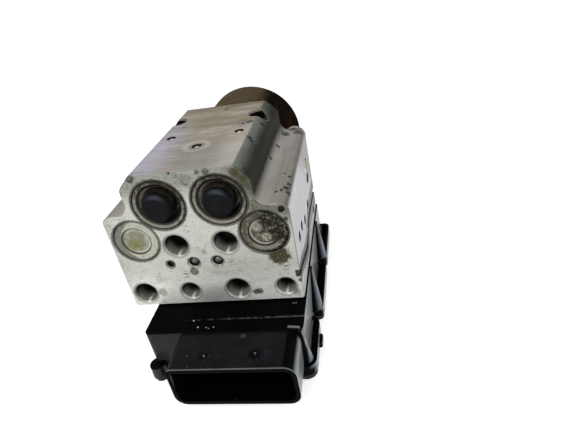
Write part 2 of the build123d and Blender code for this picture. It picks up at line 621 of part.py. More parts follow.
def accumulator_piston(side):
    """Cup-shaped piston with a seal groove, resting on the bore's end."""
    back = ACCUMULATOR_DEPTH - SEAT_GAP
    front = back - ACCUMULATOR_PISTON_LENGTH
    radius = ACCUMULATOR_BORE - RUN_GAP
    groove = radius - SEAL_SECTION
    profile = [
        (0, back - 2.6), (PISTON_HOLLOW, back - 2.6), (PISTON_HOLLOW, front), (radius, front),
        (radius, SEAL_Y - SEAL_SECTION / 2 - 0.1), (groove, SEAL_Y - SEAL_SECTION / 2 - 0.1),
        (groove, SEAL_Y + SEAL_SECTION / 2 + 0.1), (radius, SEAL_Y + SEAL_SECTION / 2 + 0.1),
        (radius, back - 0.8), (radius - 0.8, back), (0, back),
    ]
    return turned_y(profile, side * ACCUMULATOR_X, BLOCK_BASE + ACCUMULATOR_HEIGHT)


def accumulator_seal(side):
    """Square-cut ring in the piston's groove."""
    outer = ACCUMULATOR_BORE - 0.02
    inner = ACCUMULATOR_BORE - RUN_GAP - SEAL_SECTION + 0.02
    half = SEAL_SECTION / 2
    profile = [
        (inner, SEAL_Y - half), (outer - 0.3, SEAL_Y - half), (outer, SEAL_Y), (outer - 0.3, SEAL_Y + half),
        (inner, SEAL_Y + half)]
    return turned_y(profile, side * ACCUMULATOR_X, BLOCK_BASE + ACCUMULATOR_HEIGHT)


def coil_spring(radius, wire, length, turns):
    """Helical compression spring along +Z from the origin, its wire of square section."""
    path = Helix(pitch=(length - wire) / turns, height=length - wire, radius=radius)
    start = path @ 0
    section = Plane(origin=start, z_dir=path % 0) * RegularPolygon(wire / 2 * 1.1, 6)
    return Pos(0, 0, wire / 2) * sweep(section, path=path)


def accumulator_spring(side):
    """Spring between the cover's floor and the piston's hollow."""
    start = CUP_FLOOR_BACK + 0.2
    end = ACCUMULATOR_DEPTH - SEAT_GAP - 2.6 - 0.2
    spring = coil_spring(ACCUMULATOR_COIL_RADIUS, ACCUMULATOR_WIRE, end - start, ACCUMULATOR_TURNS)
    place = Pos(side * ACCUMULATOR_X, start, BLOCK_BASE + ACCUMULATOR_HEIGHT)
    return place * Rot(-90, 0, 0) * spring


# ---------------------------------------------------------------- dampers
def damper_plug(side):
    """Turned closing plug with a rim groove and a dished centre disc."""
    rim = DAMPER_MOUTH - 0.25
    profile = [
        (0, 1.0), (5.2, 0.8), (6.6, 1.1), (6.9, 0.3), (7.3, 0.25), (rim - 0.7, 0.25),
        (rim - 0.5, 0.9), (rim, 0.9), (rim, DAMPER_PLUG_LENGTH), (0, DAMPER_PLUG_LENGTH)]
    return turned_y(profile, side * DAMPER_X, BLOCK_BASE + DAMPER_HEIGHT)


def damper_element(side):
    """Ribbed rubber element that smooths the pump's pulses."""
    start = DAMPER_PLUG_LENGTH
    ribs = DAMPER_BORE - DAMPER_RIB_GAP
    core = ribs - DAMPER_RIB_HEIGHT
    edge = DAMPER_RIB_EDGE
    profile = [(0, start), (core, start)]
    pitch = (DAMPER_DEPTH - start) / 4
    for i in range(3):
        y = start + pitch * (i + 0.5)
        profile += [(core, y), (ribs, y + edge), (ribs, y + pitch - 2 * edge), (core, y + pitch - edge)]
    profile += [(core, DAMPER_DEPTH - SEAT_GAP), (0, DAMPER_DEPTH - SEAT_GAP)]
    return turned_y(profile, side * DAMPER_X, BLOCK_BASE + DAMPER_HEIGHT)


# ---------------------------------------------------------------- pump
def for_side(shape, side):
    """A shape drawn on the right-hand side, moved to the given side."""
    return shape if side > 0 else mirror(shape, Plane.YZ)


def pump_plug(side):
    """Closing plug of a pump bore, staked just below the side face, with the outlet valve's pocket."""
    outer = BLOCK_HALF_WIDTH - PLUG_SINK
    inner = outer - PLUG_LENGTH
    radius = PLUG_RADIUS - FIT_GAP
    pocket = PUMP_BALL_RADIUS + 0.4
    profile = [
        (SLEEVE_END, 0), (SLEEVE_END, 0.01), (SLEEVE_END, SLEEVE_RADIUS - 0.4), (inner, SLEEVE_RADIUS - 0.4),
        (inner, radius), (outer - 0.6, radius), (outer, radius - 0.8), (outer, 3.2), (outer - 0.9, 2.6),
        (outer - 0.9, 0)]
    plug = turned_x(profile, PUMP_Y, AXIS_Z)
    hollow = rod_x(pocket, SLEEVE_END - 1, SLEEVE_END + 2 * PUMP_BALL_RADIUS + 0.3, PUMP_Y, AXIS_Z)
    return for_side(plug - hollow, side)


def pump_sleeve(side):
    """Liner of the piston with its outlet hole at the outer end."""
    outer = SLEEVE_RADIUS - FIT_GAP
    inner = PISTON_RADIUS + RUN_GAP
    end_wall = 1.6
    profile = [
        (SLEEVE_START, inner), (SLEEVE_START, outer - 0.6), (SLEEVE_START + 0.6, outer),
        (SLEEVE_END, outer), (SLEEVE_END, 1.0), (SLEEVE_END - end_wall, 1.0), (SLEEVE_END - end_wall, inner)]
    return for_side(turned_x(profile, PUMP_Y, AXIS_Z), side)


def pump_piston(side):
    """Plunger at its outer dead centre, its foot just clear of the eccentric's orbit."""
    foot = PISTON_FACE
    tail = foot + PISTON_LENGTH
    radius = PISTON_RADIUS
    profile = [
        (foot, 0), (foot, radius - 0.6), (foot + 0.6, radius), (tail - 2.2, radius), (tail - 2.2, 2.4),
        (tail, 2.4), (tail, 0)]
    return for_side(turned_x(profile, PUMP_Y, AXIS_Z), side)


def pump_spring(side):
    """Return spring between the piston's step and the sleeve's end wall."""
    start = PISTON_FACE + PISTON_LENGTH - 2.2 + 0.1
    end = SLEEVE_END - 1.6 - 0.1
    spring = coil_spring(PUMP_COIL_RADIUS, PUMP_WIRE, end - start, PUMP_TURNS)
    return for_side(Pos(start, PUMP_Y, AXIS_Z) * Rot(0, 90, 0) * spring, side)


def pump_balls():
    """The two outlet valves' balls on their seats."""
    x = SLEEVE_END + PUMP_BALL_RADIUS + 0.15
    return group([Pos(side * x, PUMP_Y, AXIS_Z) * Sphere(PUMP_BALL_RADIUS) for side in (-1, 1)])


def eccentric_ring():
    """Outer ring that rolls on the eccentric and pushes the pistons."""
    half = RING_WIDTH / 2
    inner = ECCENTRIC_RADIUS + RUN_GAP
    profile = [
        (inner, PUMP_Y - half), (RING_RADIUS - 0.4, PUMP_Y - half), (RING_RADIUS, PUMP_Y - half + 0.4),
        (RING_RADIUS, PUMP_Y + half - 0.4), (RING_RADIUS - 0.4, PUMP_Y + half), (inner, PUMP_Y + half)]
    return turned_y(profile, 0, AXIS_Z + ECCENTRICITY)


def ring_of(inner, outer, y0, y1):
    """Plain ring round the motor's axis."""
    return turned_y([(inner, y0), (outer, y0), (outer, y1), (inner, y1)], 0, AXIS_Z)


# ---------------------------------------------------------------- motor
def motor_shaft():
    """Shaft with the pump's eccentric turned on it."""
    shaft = rod_y(SHAFT_RADIUS, TAIL_FRONT + 1, MOTOR_END + BOSS_REACH - 3.0, 0, AXIS_Z)
    half = RING_WIDTH / 2 + 0.5
    cam = rod_y(ECCENTRIC_RADIUS, PUMP_Y - half, PUMP_Y + half, 0, AXIS_Z + ECCENTRICITY)
    return shaft + cam


def motor_can():
    """Deep-drawn can with a rolled mouth, a rounded closed end and a bearing boss."""
    r = MOTOR_RADIUS
    wall = MOTOR_WALL
    front = END_PLATE_BACK
    back = MOTOR_END
    boss = back + BOSS_REACH
    bush = REAR_BUSH_RADIUS + FIT_GAP
    outer = [
        (r - wall, front), (r + MOUTH_LIP, front), (r + MOUTH_LIP, front + 1.8), (r, front + 2.6),
        (r, back - MOTOR_END_ROUND), (r - MOTOR_END_ROUND * 0.3, back - MOTOR_END_ROUND * 0.3),
        (r - MOTOR_END_ROUND, back), (BOSS_RADIUS + 1.0, back), (BOSS_RADIUS, back + 1.0),
        (BOSS_RADIUS, boss - 1.0), (BOSS_RADIUS - 1.0, boss), (0, boss)]
    inner = [
        (0, boss - wall), (bush, boss - wall), (bush, REAR_BUSH_FRONT), (bush + 1.4, REAR_BUSH_FRONT),
        (bush + 1.4, back - wall), (r - MOTOR_END_ROUND, back - wall),
        (r - wall, back - MOTOR_END_ROUND)]
    can = turned_y(outer + inner, 0, AXIS_Z)
    slot = block(-TERMINAL_X - 3, TERMINAL_X + 3, front - 1, front + 5, AXIS_Z - r - 3, AXIS_Z - r + wall + 1)
    return can - slot


def rear_bush():
    """Sintered bush in the can's boss."""
    return ring_of(SHAFT_RADIUS + RUN_GAP, REAR_BUSH_RADIUS, REAR_BUSH_FRONT, MOTOR_END + BOSS_REACH - 2.6)


def motor_end_plate():
    """Steel plate that closes the can and carries its two screw ears."""
    plate = rod_y(MOTOR_RADIUS + 0.4, BLOCK_DEPTH, END_PLATE_BACK, 0, AXIS_Z)
    for side in (-1, 1):
        x = side * EAR_X
        z = AXIS_Z + side * EAR_RISE
        plate = plate + rod_y(EAR_RADIUS, BLOCK_DEPTH, END_PLATE_BACK, x, z)
    for side in (-1, 1):
        x = side * EAR_X
        z = AXIS_Z + side * EAR_RISE
        plate = plate - rod_y(EAR_SCREW_RADIUS + 0.3, BLOCK_DEPTH - 1, END_PLATE_BACK + 1, x, z)
    plate = plate - rod_y(SHAFT_RADIUS + 2.0, BLOCK_DEPTH - 1, END_PLATE_BACK + 1, 0, AXIS_Z)
    notch = block(-TERMINAL_X - 3, TERMINAL_X + 3, BLOCK_DEPTH - 1, END_PLATE_BACK + 1,
                  AXIS_Z - MOTOR_RADIUS - 2, AXIS_Z - MOTOR_RADIUS + 9)
    return plate - notch


def hexagon_screw(radius, head_radius, head_height, length):
    """Hexagon flange screw along +Z: the head's flange lies on Z = 0 and the thread runs below."""
    head = extrude(RegularPolygon(head_radius, 6), amount=head_height)
    on_base = (Align.CENTER, Align.CENTER, Align.MIN)
    flange = Cylinder(head_radius * FLANGE_SHARE, head_height * 0.3, align=on_base)
    thread = Cylinder(radius, length, align=(Align.CENTER, Align.CENTER, Align.MAX))
    return head + flange + thread


def motor_screws():
    """The two screws through the end plate's ears."""
    screws = []
    for side in (-1, 1):
        screw = hexagon_screw(EAR_SCREW_RADIUS, EAR_SCREW_HEAD, EAR_SCREW_HEAD_HEIGHT,
                              EAR_SCREW_GRIP + END_PLATE_THICKNESS)
        place = Pos(side * EAR_X, END_PLATE_BACK, AXIS_Z + side * EAR_RISE)
        screws.append(place * Rot(-90, 0, 0) * screw)
    return group(screws)


def motor_magnets():
    """Two curved magnets held inside the can."""
    y0 = (STACK_FRONT + STACK_BACK - MAGNET_LENGTH) / 2
    outer = MAGNET_RADIUS - FIT_GAP
    inner = outer - MAGNET_THICKNESS + FIT_GAP
    shell = ring_of(inner, outer, y0, y0 + MAGNET_LENGTH)
    magnets = []
    for side in (-1, 1):
        half = radians(MAGNET_ARC / 2)
        reach = 2 * MOTOR_RADIUS
        wedge = make_face(Polyline((0, 0), (side * reach * cos(half), reach * sin(half)),
                                   (side * reach, reach * sin(half)), (side * reach, -reach * sin(half)),
                                   (side * reach * cos(half), -reach * sin(half)), close=True))
        sector = Pos(0, y0 + MAGNET_LENGTH, AXIS_Z) * extrude(Plane.XZ * wedge, amount=MAGNET_LENGTH)
        magnets.append(shell & sector)
    return group(magnets)


def slot_boxes(width, depth, y0, y1):
    """Radial boxes at the armature's slots, open at its outside."""
    boxes = []
    for i in range(SLOT_COUNT):
        bar = block(-width / 2, width / 2, y0, y1, ARMATURE_RADIUS - depth, ARMATURE_RADIUS + 1)
        boxes.append(Pos(0, 0, AXIS_Z) * Rot(0, 360 / SLOT_COUNT * (i + 0.5), 0) * bar)
    return boxes


def armature_core():
    """Stack of slotted laminations pressed on the shaft."""
    core = ring_of(SHAFT_RADIUS + 0.02, ARMATURE_RADIUS, STACK_FRONT, STACK_BACK)
    for box in slot_boxes(SLOT_WIDTH, SLOT_DEPTH, STACK_FRONT - 1, STACK_BACK + 1):
        core = core - box
    return core


def armature_windings():
    """Copper windings: bars in the slots joined by an end turn on each side."""
    inner = SHAFT_RADIUS + 3.0
    outer = ARMATURE_RADIUS - 2.0
    turns = 2.4
    front_end = ring_of(inner, outer, STACK_FRONT - turns, STACK_FRONT)
    back_end = ring_of(inner, outer, STACK_BACK, STACK_BACK + END_TURN)
    trim = ring_of(inner, outer, STACK_FRONT - 1, STACK_BACK + 1)
    width = SLOT_WIDTH - 0.4
    bars = slot_boxes(width, SLOT_DEPTH - 0.2, STACK_FRONT - 0.5, STACK_BACK + 0.5)
    whole = front_end
    for bar in bars:
        whole = whole + (bar & trim)
    return whole + back_end


def commutator():
    """Segmented copper commutator."""
    back = COMMUTATOR_FRONT + COMMUTATOR_LENGTH
    drum = ring_of(SHAFT_RADIUS + 0.02, COMMUTATOR_RADIUS, COMMUTATOR_FRONT, back)
    for i in range(SLOT_COUNT):
        cut = block(-0.3, 0.3, COMMUTATOR_FRONT - 1, back + 1, COMMUTATOR_RADIUS - 1.0, COMMUTATOR_RADIUS + 1)
        drum = drum - Pos(0, 0, AXIS_Z) * Rot(0, 360 / SLOT_COUNT * i, 0) * cut
    return drum


def brush_holder():
    """Moulded disc behind the end plate with two brush guides."""
    front = END_PLATE_BACK + 0.1
    back = front + HOLDER_THICKNESS
    disc = ring_of(COMMUTATOR_RADIUS + 2.5, MAGNET_RADIUS - 0.2, front, back)
    disc = disc - block(-TERMINAL_X - 3, TERMINAL_X + 3, front - 1, back + 1,
                        AXIS_Z - MOTOR_RADIUS - 2, AXIS_Z - MOTOR_RADIUS + 6)
    guides = []
    for side in (-1, 1):
        outer = side * GUIDE_REACH
        inner = side * (COMMUTATOR_RADIUS + 3.0)
        x0 = min(outer, inner)
        x1 = max(outer, inner)
        half = BRUSH_WIDTH / 2
        rails = [block(x0, x1, back - 0.5, back + BRUSH_WIDTH, AXIS_Z + half + 0.1, AXIS_Z + half + 1.6),
                 block(x0, x1, back - 0.5, back + BRUSH_WIDTH, AXIS_Z - half - 1.6, AXIS_Z - half - 0.1)]
        guides += rails
    return fuse([disc] + guides)


def carbon_brushes():
    """Two carbon blocks bearing on the commutator."""
    brushes = []
    y0 = END_PLATE_BACK + 0.1 + HOLDER_THICKNESS
    half = BRUSH_WIDTH / 2
    for side in (-1, 1):
        inner = COMMUTATOR_RADIUS + SEAT_GAP
        outer = inner + BRUSH_LENGTH
        brushes.append(block(min(side * inner, side * outer), max(side * inner, side * outer),
                             y0, y0 + BRUSH_WIDTH - 0.8, AXIS_Z - half, AXIS_Z + half))
    return group(brushes)


def motor_terminals():
    """Two blades from the brush holder down through the unit's deck to the circuit board."""
    blades = []
    y_front = BLOCK_DEPTH + 1.2
    y_back = END_PLATE_BACK + 2.4
    for side in (-1, 1):
        x0 = side * TERMINAL_X - 1.2
        x1 = side * TERMINAL_X + 1.2
        top = AXIS_Z - MOTOR_RADIUS + 5.0
        upright = block(x0, x1, y_front, y_front + 0.8, BOARD_TOP, top)
        tab = block(x0, x1, y_front, y_back, top - 0.8, top)
        blades.append(upright + tab)
    return group(blades)


def bearing_ring(inner, outer):
    """One ring of the front ball bearing."""
    y0 = BEARING_FRONT + 0.5
    return ring_of(inner, outer, y0, y0 + BEARING_WIDTH)


# ---------------------------------------------------------------- solenoid valves
def valve_cartridge(x, y, kind):
    """Sealed valve: body in the block, staked flange and domed stem that the coil surrounds."""
    base = BLOCK_BASE
    body = VALVE_BORE - FIT_GAP
    stem = VALVE_STEM_RADIUS
    tip = base - VALVE_STEM_LENGTH
    neck = body - (1.2 if kind == "inlet" else 0.4)
    profile = [
        (0, base + VALVE_DEPTH - 0.4), (neck, base + VALVE_DEPTH - 0.4), (neck, base + VALVE_DEPTH - 6.0),
        (body, base + VALVE_DEPTH - 6.5), (body, base + VALVE_STAKE_DEPTH),
        (VALVE_STAKE_RADIUS - FIT_GAP, base + VALVE_STAKE_DEPTH),
        (VALVE_STAKE_RADIUS - FIT_GAP, base + 0.4), (stem + 0.6, base), (stem, base - 0.4),
        (stem, tip + 1.6), (stem - 1.8, tip), (0, tip)]
    return turned_z(profile, x, y)


def valve_coil(x, y):
    """Coil round a valve stem: bobbin flanges, winding and two legs to the board."""
    top = DECK_UNDERSIDE
    bottom = BOARD_TOP + 1.2
    inner = VALVE_STEM_RADIUS + COIL_CLEARANCE
    profile = [
        (inner, bottom), (COIL_RADIUS, bottom), (COIL_RADIUS, bottom + 1.4),
        (COIL_RADIUS - 0.8, bottom + 1.4), (COIL_RADIUS - 0.8, top - 1.4), (COIL_RADIUS, top - 1.4),
        (COIL_RADIUS, top), (inner, top)]
    coil = turned_z(profile, x, y)
    for side in (-1, 1):
        leg = block(x + side * 6.5 - 0.4, x + side * 6.5 + 0.4, y - 0.4, y + 0.4, BOARD_TOP, bottom + 0.5)
        coil = coil + leg
    return coil


# ---------------------------------------------------------------- control unit
def mirrored_x(x):
    """The same distance from the unit's other side wall."""
    return ECU_LEFT + ECU_RIGHT - x


def inside_of_walls(inset, z0, z1):
    """Slab that fills the unit's plan, inset from its outer walls."""
    return rounded_slab(ECU_LEFT + inset, ECU_RIGHT - inset, ECU_FRONT + inset, ECU_BACK - inset,
                        z0, z1, ECU_CORNER - 1)


def foot_outline(z0, z1, inset):
    """The unit's foot: a slab with rim sections along its sides."""
    slab = rounded_slab(ECU_LEFT + inset, ECU_RIGHT - inset, ECU_FRONT + inset, ECU_BACK - inset,
                        z0, z1, ECU_CORNER)
    pieces = [slab]
    for (y0, y1), (reach, corner) in zip(RIM_SECTIONS, RIM_SHAPES):
        inner = ECU_RIGHT - RIM_ROOT + inset
        outer = ECU_RIGHT + reach - inset
        start = y0 + inset
        end = y1 - inset
        pieces.append(rounded_slab(inner, outer, start, end, z0, z1, corner - inset))
        if y0 > RIM_FRONT:
            pieces.append(rounded_slab(mirrored_x(outer), mirrored_x(inner), start, end,
                                       z0, z1, corner - inset))
    return fuse(pieces)


def small_lug(z0, z1, inset):
    """Lug under the left front corner."""
    return rod_z(SMALL_LUG_RADIUS - inset, z0, z1, ECU_LEFT + SMALL_LUG_INSET, ECU_FRONT - SMALL_LUG_REACH)


def rim_pockets():
    """Troughs in the top of the rim sections."""
    pockets = []
    z0 = FLANGE_TOP - RIM_POCKET_DEPTH
    for (y0, y1), (reach, corner) in zip(RIM_SECTIONS, RIM_SHAPES):
        x0 = ECU_RIGHT + 0.2
        x1 = ECU_RIGHT + reach - RIM_WALL
        start = y0 + RIM_POCKET_LEAD
        end = y1 - corner / 2
        pockets.append(rounded_slab(x0, x1, start, end, z0, FLANGE_TOP + 1, RIM_POCKET_CORNER))
        if y0 > RIM_FRONT:
            pockets.append(rounded_slab(mirrored_x(x1), mirrored_x(x0), start, end,
                                        z0, FLANGE_TOP + 1, RIM_POCKET_CORNER))
    return pockets


def leaning_boss(x, y):
    """Tapered boss on a side wall, wide at the foot rim and running out under the block."""
    foot = Pos(x, y, FLANGE_TOP - 0.5) * Circle(BOSS_FOOT_RADIUS)
    top = Pos(x, y + BOSS_LEAN, ECU_TOP - 0.4) * Circle(BOSS_TOP_RADIUS)
    return loft([foot, top])


def corner_boss():
    """Upright tapered boss on the front rim section's round end, running out at the deck."""
    x = ECU_RIGHT + FRONT_RIM_REACH - FRONT_RIM_CORNER
    foot = Pos(x, RIM_FRONT + FRONT_RIM_CORNER, FLANGE_TOP - 0.5) * Circle(CORNER_BOSS_FOOT)
    top = Pos(ECU_RIGHT - 2.2, ECU_FRONT + 0.9, ECU_TOP - STEP_DROP - 0.6) * Circle(CORNER_BOSS_TOP)
    return loft([foot, top])


def shroud_outline(inset):
    """Rounded mouth of the connector in the XZ plane, tighter at its upper left corner."""
    x0 = SHROUD_LEFT + inset
    x1 = SHROUD_RIGHT - inset
    z1 = SHROUD_TOP - inset
    z0 = SHROUD_TOP - SHROUD_HEIGHT + inset
    face = make_face(Polyline((x0, z0), (x1, z0), (x1, z1), (x0, z1), close=True))
    face = fillet(face.vertices().sort_by_distance((x0, z1, 0))[0], max(SHROUD_TIGHT_CORNER - inset / 2, 0.5))
    for corner in ((x0, z0), (x1, z0), (x1, z1)):
        vertex = face.vertices().sort_by_distance((corner[0], corner[1], 0))[0]
        face = fillet(vertex, SHROUD_CORNER - inset)
    return Plane.XZ * face


def connector_shroud():
    """Tube of the electrical connector in front of the unit."""
    tube = Pos(0, ECU_FRONT + 1.0, 0) * extrude(shroud_outline(0), amount=SHROUD_REACH + 1.0)
    return tube


def shroud_hollow():
    """Space that the mating plug fills."""
    return Pos(0, ECU_FRONT, 0) * extrude(shroud_outline(SHROUD_WALL), amount=SHROUD_REACH + 1.0)


def ecu_housing():
    """Moulded housing: walls, deck, foot rim, bosses, screw towers and connector shroud."""
    body = rounded_slab(ECU_LEFT, ECU_RIGHT, ECU_FRONT, ECU_BACK, FLANGE_BASE, ECU_TOP, ECU_CORNER)
    body = body + foot_outline(FLANGE_BASE, FLANGE_TOP, 0) + small_lug(FLANGE_BASE, FLANGE_TOP, 0)
    for pocket in rim_pockets():
        body = body - pocket
    for y in BOSS_FEET:
        body = body + leaning_boss(ECU_RIGHT - 0.4, y) + leaning_boss(ECU_LEFT + 0.4, y)
    body = body + corner_boss()
    body = body + connector_shroud()
    # low step of the deck in front of the block
    body = body - block(STEP_LEFT, ECU_RIGHT + 1, ECU_FRONT - 1, STEP_BACK, ECU_TOP - STEP_DROP, ECU_TOP + 1)
    body = body + block(LEDGE_LEFT, LEDGE_RIGHT, ECU_FRONT, ECU_FRONT + LEDGE_DEPTH,
                        SHROUD_TOP - 1, SHROUD_TOP + LEDGE_RISE)
    rim = ECU_RIGHT + FRONT_RIM_REACH
    body = body + rounded_slab(rim - RIM_WALL - TAB_CORNER, rim + TAB_REACH, TAB_START, TAB_END,
                               FLANGE_BASE, FLANGE_BASE + TAB_HEIGHT, TAB_CORNER)
    hollow = inside_of_walls(ECU_WALL, FLANGE_BASE - 1, DECK_UNDERSIDE)
    for x in SCREW_XS:
        for y in SCREW_ROWS:
            hollow = hollow - rod_z(TOWER_RADIUS, FLANGE_BASE, DECK_UNDERSIDE + 1, x, y)
    body = body - hollow
    body = body - shroud_hollow()
    for x in SCREW_XS:
        for y in SCREW_ROWS:
            body = body - rod_z(SCREW_RADIUS + 0.3, -1, ECU_TOP + 1, x, y)
    for x in VALVE_XS:
        for y in VALVE_YS:
            body = body - rod_z(VALVE_STEM_RADIUS + 0.9, DECK_UNDERSIDE - 1, ECU_TOP + 1, x, y)
    body = body - block(-TERMINAL_X - 2, TERMINAL_X + 2, BLOCK_DEPTH + 0.6, BLOCK_DEPTH + 2.6,
                        DECK_UNDERSIDE - 1, ECU_TOP + 1)
    for x in SHROUD_PIT_XS:
        body = body - turned_z([(0, SHROUD_TOP + 1), (1.3, SHROUD_TOP + 1), (1.1, SHROUD_TOP - 0.4),
                                (0, SHROUD_TOP - 0.8)], x, ECU_FRONT - SHROUD_PIT_REACH)
    for x, width in pin_places():
        for row in range(PIN_ROWS):
            z = pin_height(row)
            half_x = width / 2 + FIT_GAP
            half_z = (WIDE_PIN_THICKNESS if width > PIN_SIZE else PIN_SIZE) / 2 + FIT_GAP
            body = body - block(x - half_x, x + half_x, ECU_FRONT - 1, ECU_FRONT + ECU_WALL + 1,
                                z - half_z, z + half_z)
    return body


def pin_places():
    """Pins of one row as (x, width): two wide ones on the left, then the narrow ones."""
    wide = [(SHROUD_LEFT + FIRST_WIDE_PIN + WIDE_PIN_PITCH * i, WIDE_PIN_WIDTH) for i in range(2)]
    narrow = [(SHROUD_LEFT + FIRST_PIN + PIN_PITCH * i, PIN_SIZE) for i in range(PIN_COUNT)]
    return wide + narrow


def pin_height(row):
    """Height of a row of pins."""
    return SHROUD_TOP - PIN_TOP_DROP - PIN_ROW_PITCH * row


def pin_shape(x, width, row):
    """Pin bent from the shroud down to the circuit board."""
    z = pin_height(row)
    half = width / 2
    thick = WIDE_PIN_THICKNESS if width > PIN_SIZE else PIN_SIZE
    leg_y = ECU_FRONT + ECU_WALL + 2.0 + 2.4 * (PIN_ROWS - 1 - row)
    run = block(x - half, x + half, ECU_FRONT - PIN_LENGTH, leg_y + thick / 2, z - thick / 2, z + thick / 2)
    leg = block(x - half, x + half, leg_y - thick / 2, leg_y + thick / 2, BOARD_TOP, z + thick / 2)
    return run + leg


def connector_pins(wide):
    """All wide pins, or all narrow ones."""
    pins = []
    for x, width in pin_places():
        if (width > PIN_SIZE) == wide:
            pins += [pin_shape(x, width, row) for row in range(PIN_ROWS)]
    return group(pins)


def ecu_cover():
    """Bottom cover: a shallow pan with posts under the circuit board."""
    pan = foot_outline(0, COVER_HEIGHT, COVER_INSET)
    pan = chamfer(pan.edges().group_by(Axis.Z)[0], 0.6)
    pan = pan + small_lug(NUB_LIFT, COVER_HEIGHT, COVER_INSET)
    pan = pan + rod_z(NUB_RADIUS, NUB_LIFT, COVER_HEIGHT, ECU_LEFT + NUB_INSET, ECU_FRONT - NUB_REACH)
    hollow = inside_of_walls(ECU_WALL, COVER_FLOOR, COVER_HEIGHT + 1)
    for x in SCREW_XS:
        for y in SCREW_ROWS:
            hollow = hollow - rod_z(SCREW_HEAD_RADIUS + 1.4, COVER_FLOOR - 1, COVER_HEIGHT + 1, x, y)
    pan = pan - hollow
    for x in SCREW_XS:
        for y in SCREW_ROWS:
            pan = pan - rod_z(SCREW_RADIUS + 0.3, -1, COVER_HEIGHT + 1, x, y)
            pan = pan - rod_z(SCREW_HEAD_RADIUS + 0.4, -1, COVER_FLOOR + 0.9, x, y)
    for x in (ECU_LEFT + PILLAR_INSET, ECU_RIGHT - PILLAR_INSET):
        for y in (ECU_FRONT + PILLAR_INSET, ECU_CENTRE_Y, ECU_BACK - PILLAR_INSET):
            pan = pan + rod_z(PILLAR_RADIUS, COVER_FLOOR - 0.5, BOARD_BASE, x, y)
    return pan


def ecu_gasket():
    """Flat gasket between the unit's deck and the block."""
    outer = rounded_slab(ECU_LEFT + 1.5, ECU_RIGHT - 2.5, 2.0, BLOCK_DEPTH - 1.0,
                         ECU_TOP, BLOCK_BASE, ECU_CORNER)
    inner = rounded_slab(ECU_LEFT + 8.5, ECU_RIGHT - 9.5, 11.0, BLOCK_DEPTH - 4.0,
                         ECU_TOP - 1, BLOCK_BASE + 1, ECU_CORNER)
    ring = outer - inner
    for x in SCREW_XS:
        for y in SCREW_ROWS:
            ring = ring - rod_z(SCREW_RADIUS + 0.3, ECU_TOP - 1, BLOCK_BASE + 1, x, y)
    for x in VALVE_XS:
        for y in VALVE_YS:
            ring = ring - rod_z(VALVE_STAKE_RADIUS + 0.5, ECU_TOP - 1, BLOCK_BASE + 1, x, y)
    return ring


def circuit_board():
    """Board with its processor and driver chips underneath."""
    gap = 0.4
    board = inside_of_walls(ECU_WALL + gap, BOARD_BASE, BOARD_TOP)
    for x in SCREW_XS:
        for y in SCREW_ROWS:
            board = board - rod_z(TOWER_RADIUS + gap, BOARD_BASE - 1, BOARD_TOP + 1, x, y)
    pieces = [board]
    for x, y, side, height in CHIPS:
        half = side / 2
        pieces.append(block(x - half, x + half, y - half, y + half, BOARD_BASE - height, BOARD_BASE + 0.2))
    return fuse(pieces)


def ecu_screws():
    """Four screws from below, through cover and towers into the block."""
    screws = []
    length = BLOCK_BASE + SCREW_GRIP - COVER_FLOOR - 0.9
    for x in SCREW_XS:
        for y in SCREW_ROWS:
            screw = hexagon_screw(SCREW_RADIUS, SCREW_HEAD_RADIUS * 0.88, SCREW_HEAD_HEIGHT, length)
            screws.append(Pos(x, y, COVER_FLOOR + 0.9) * Rot(180, 0, 0) * screw)
    return group(screws)


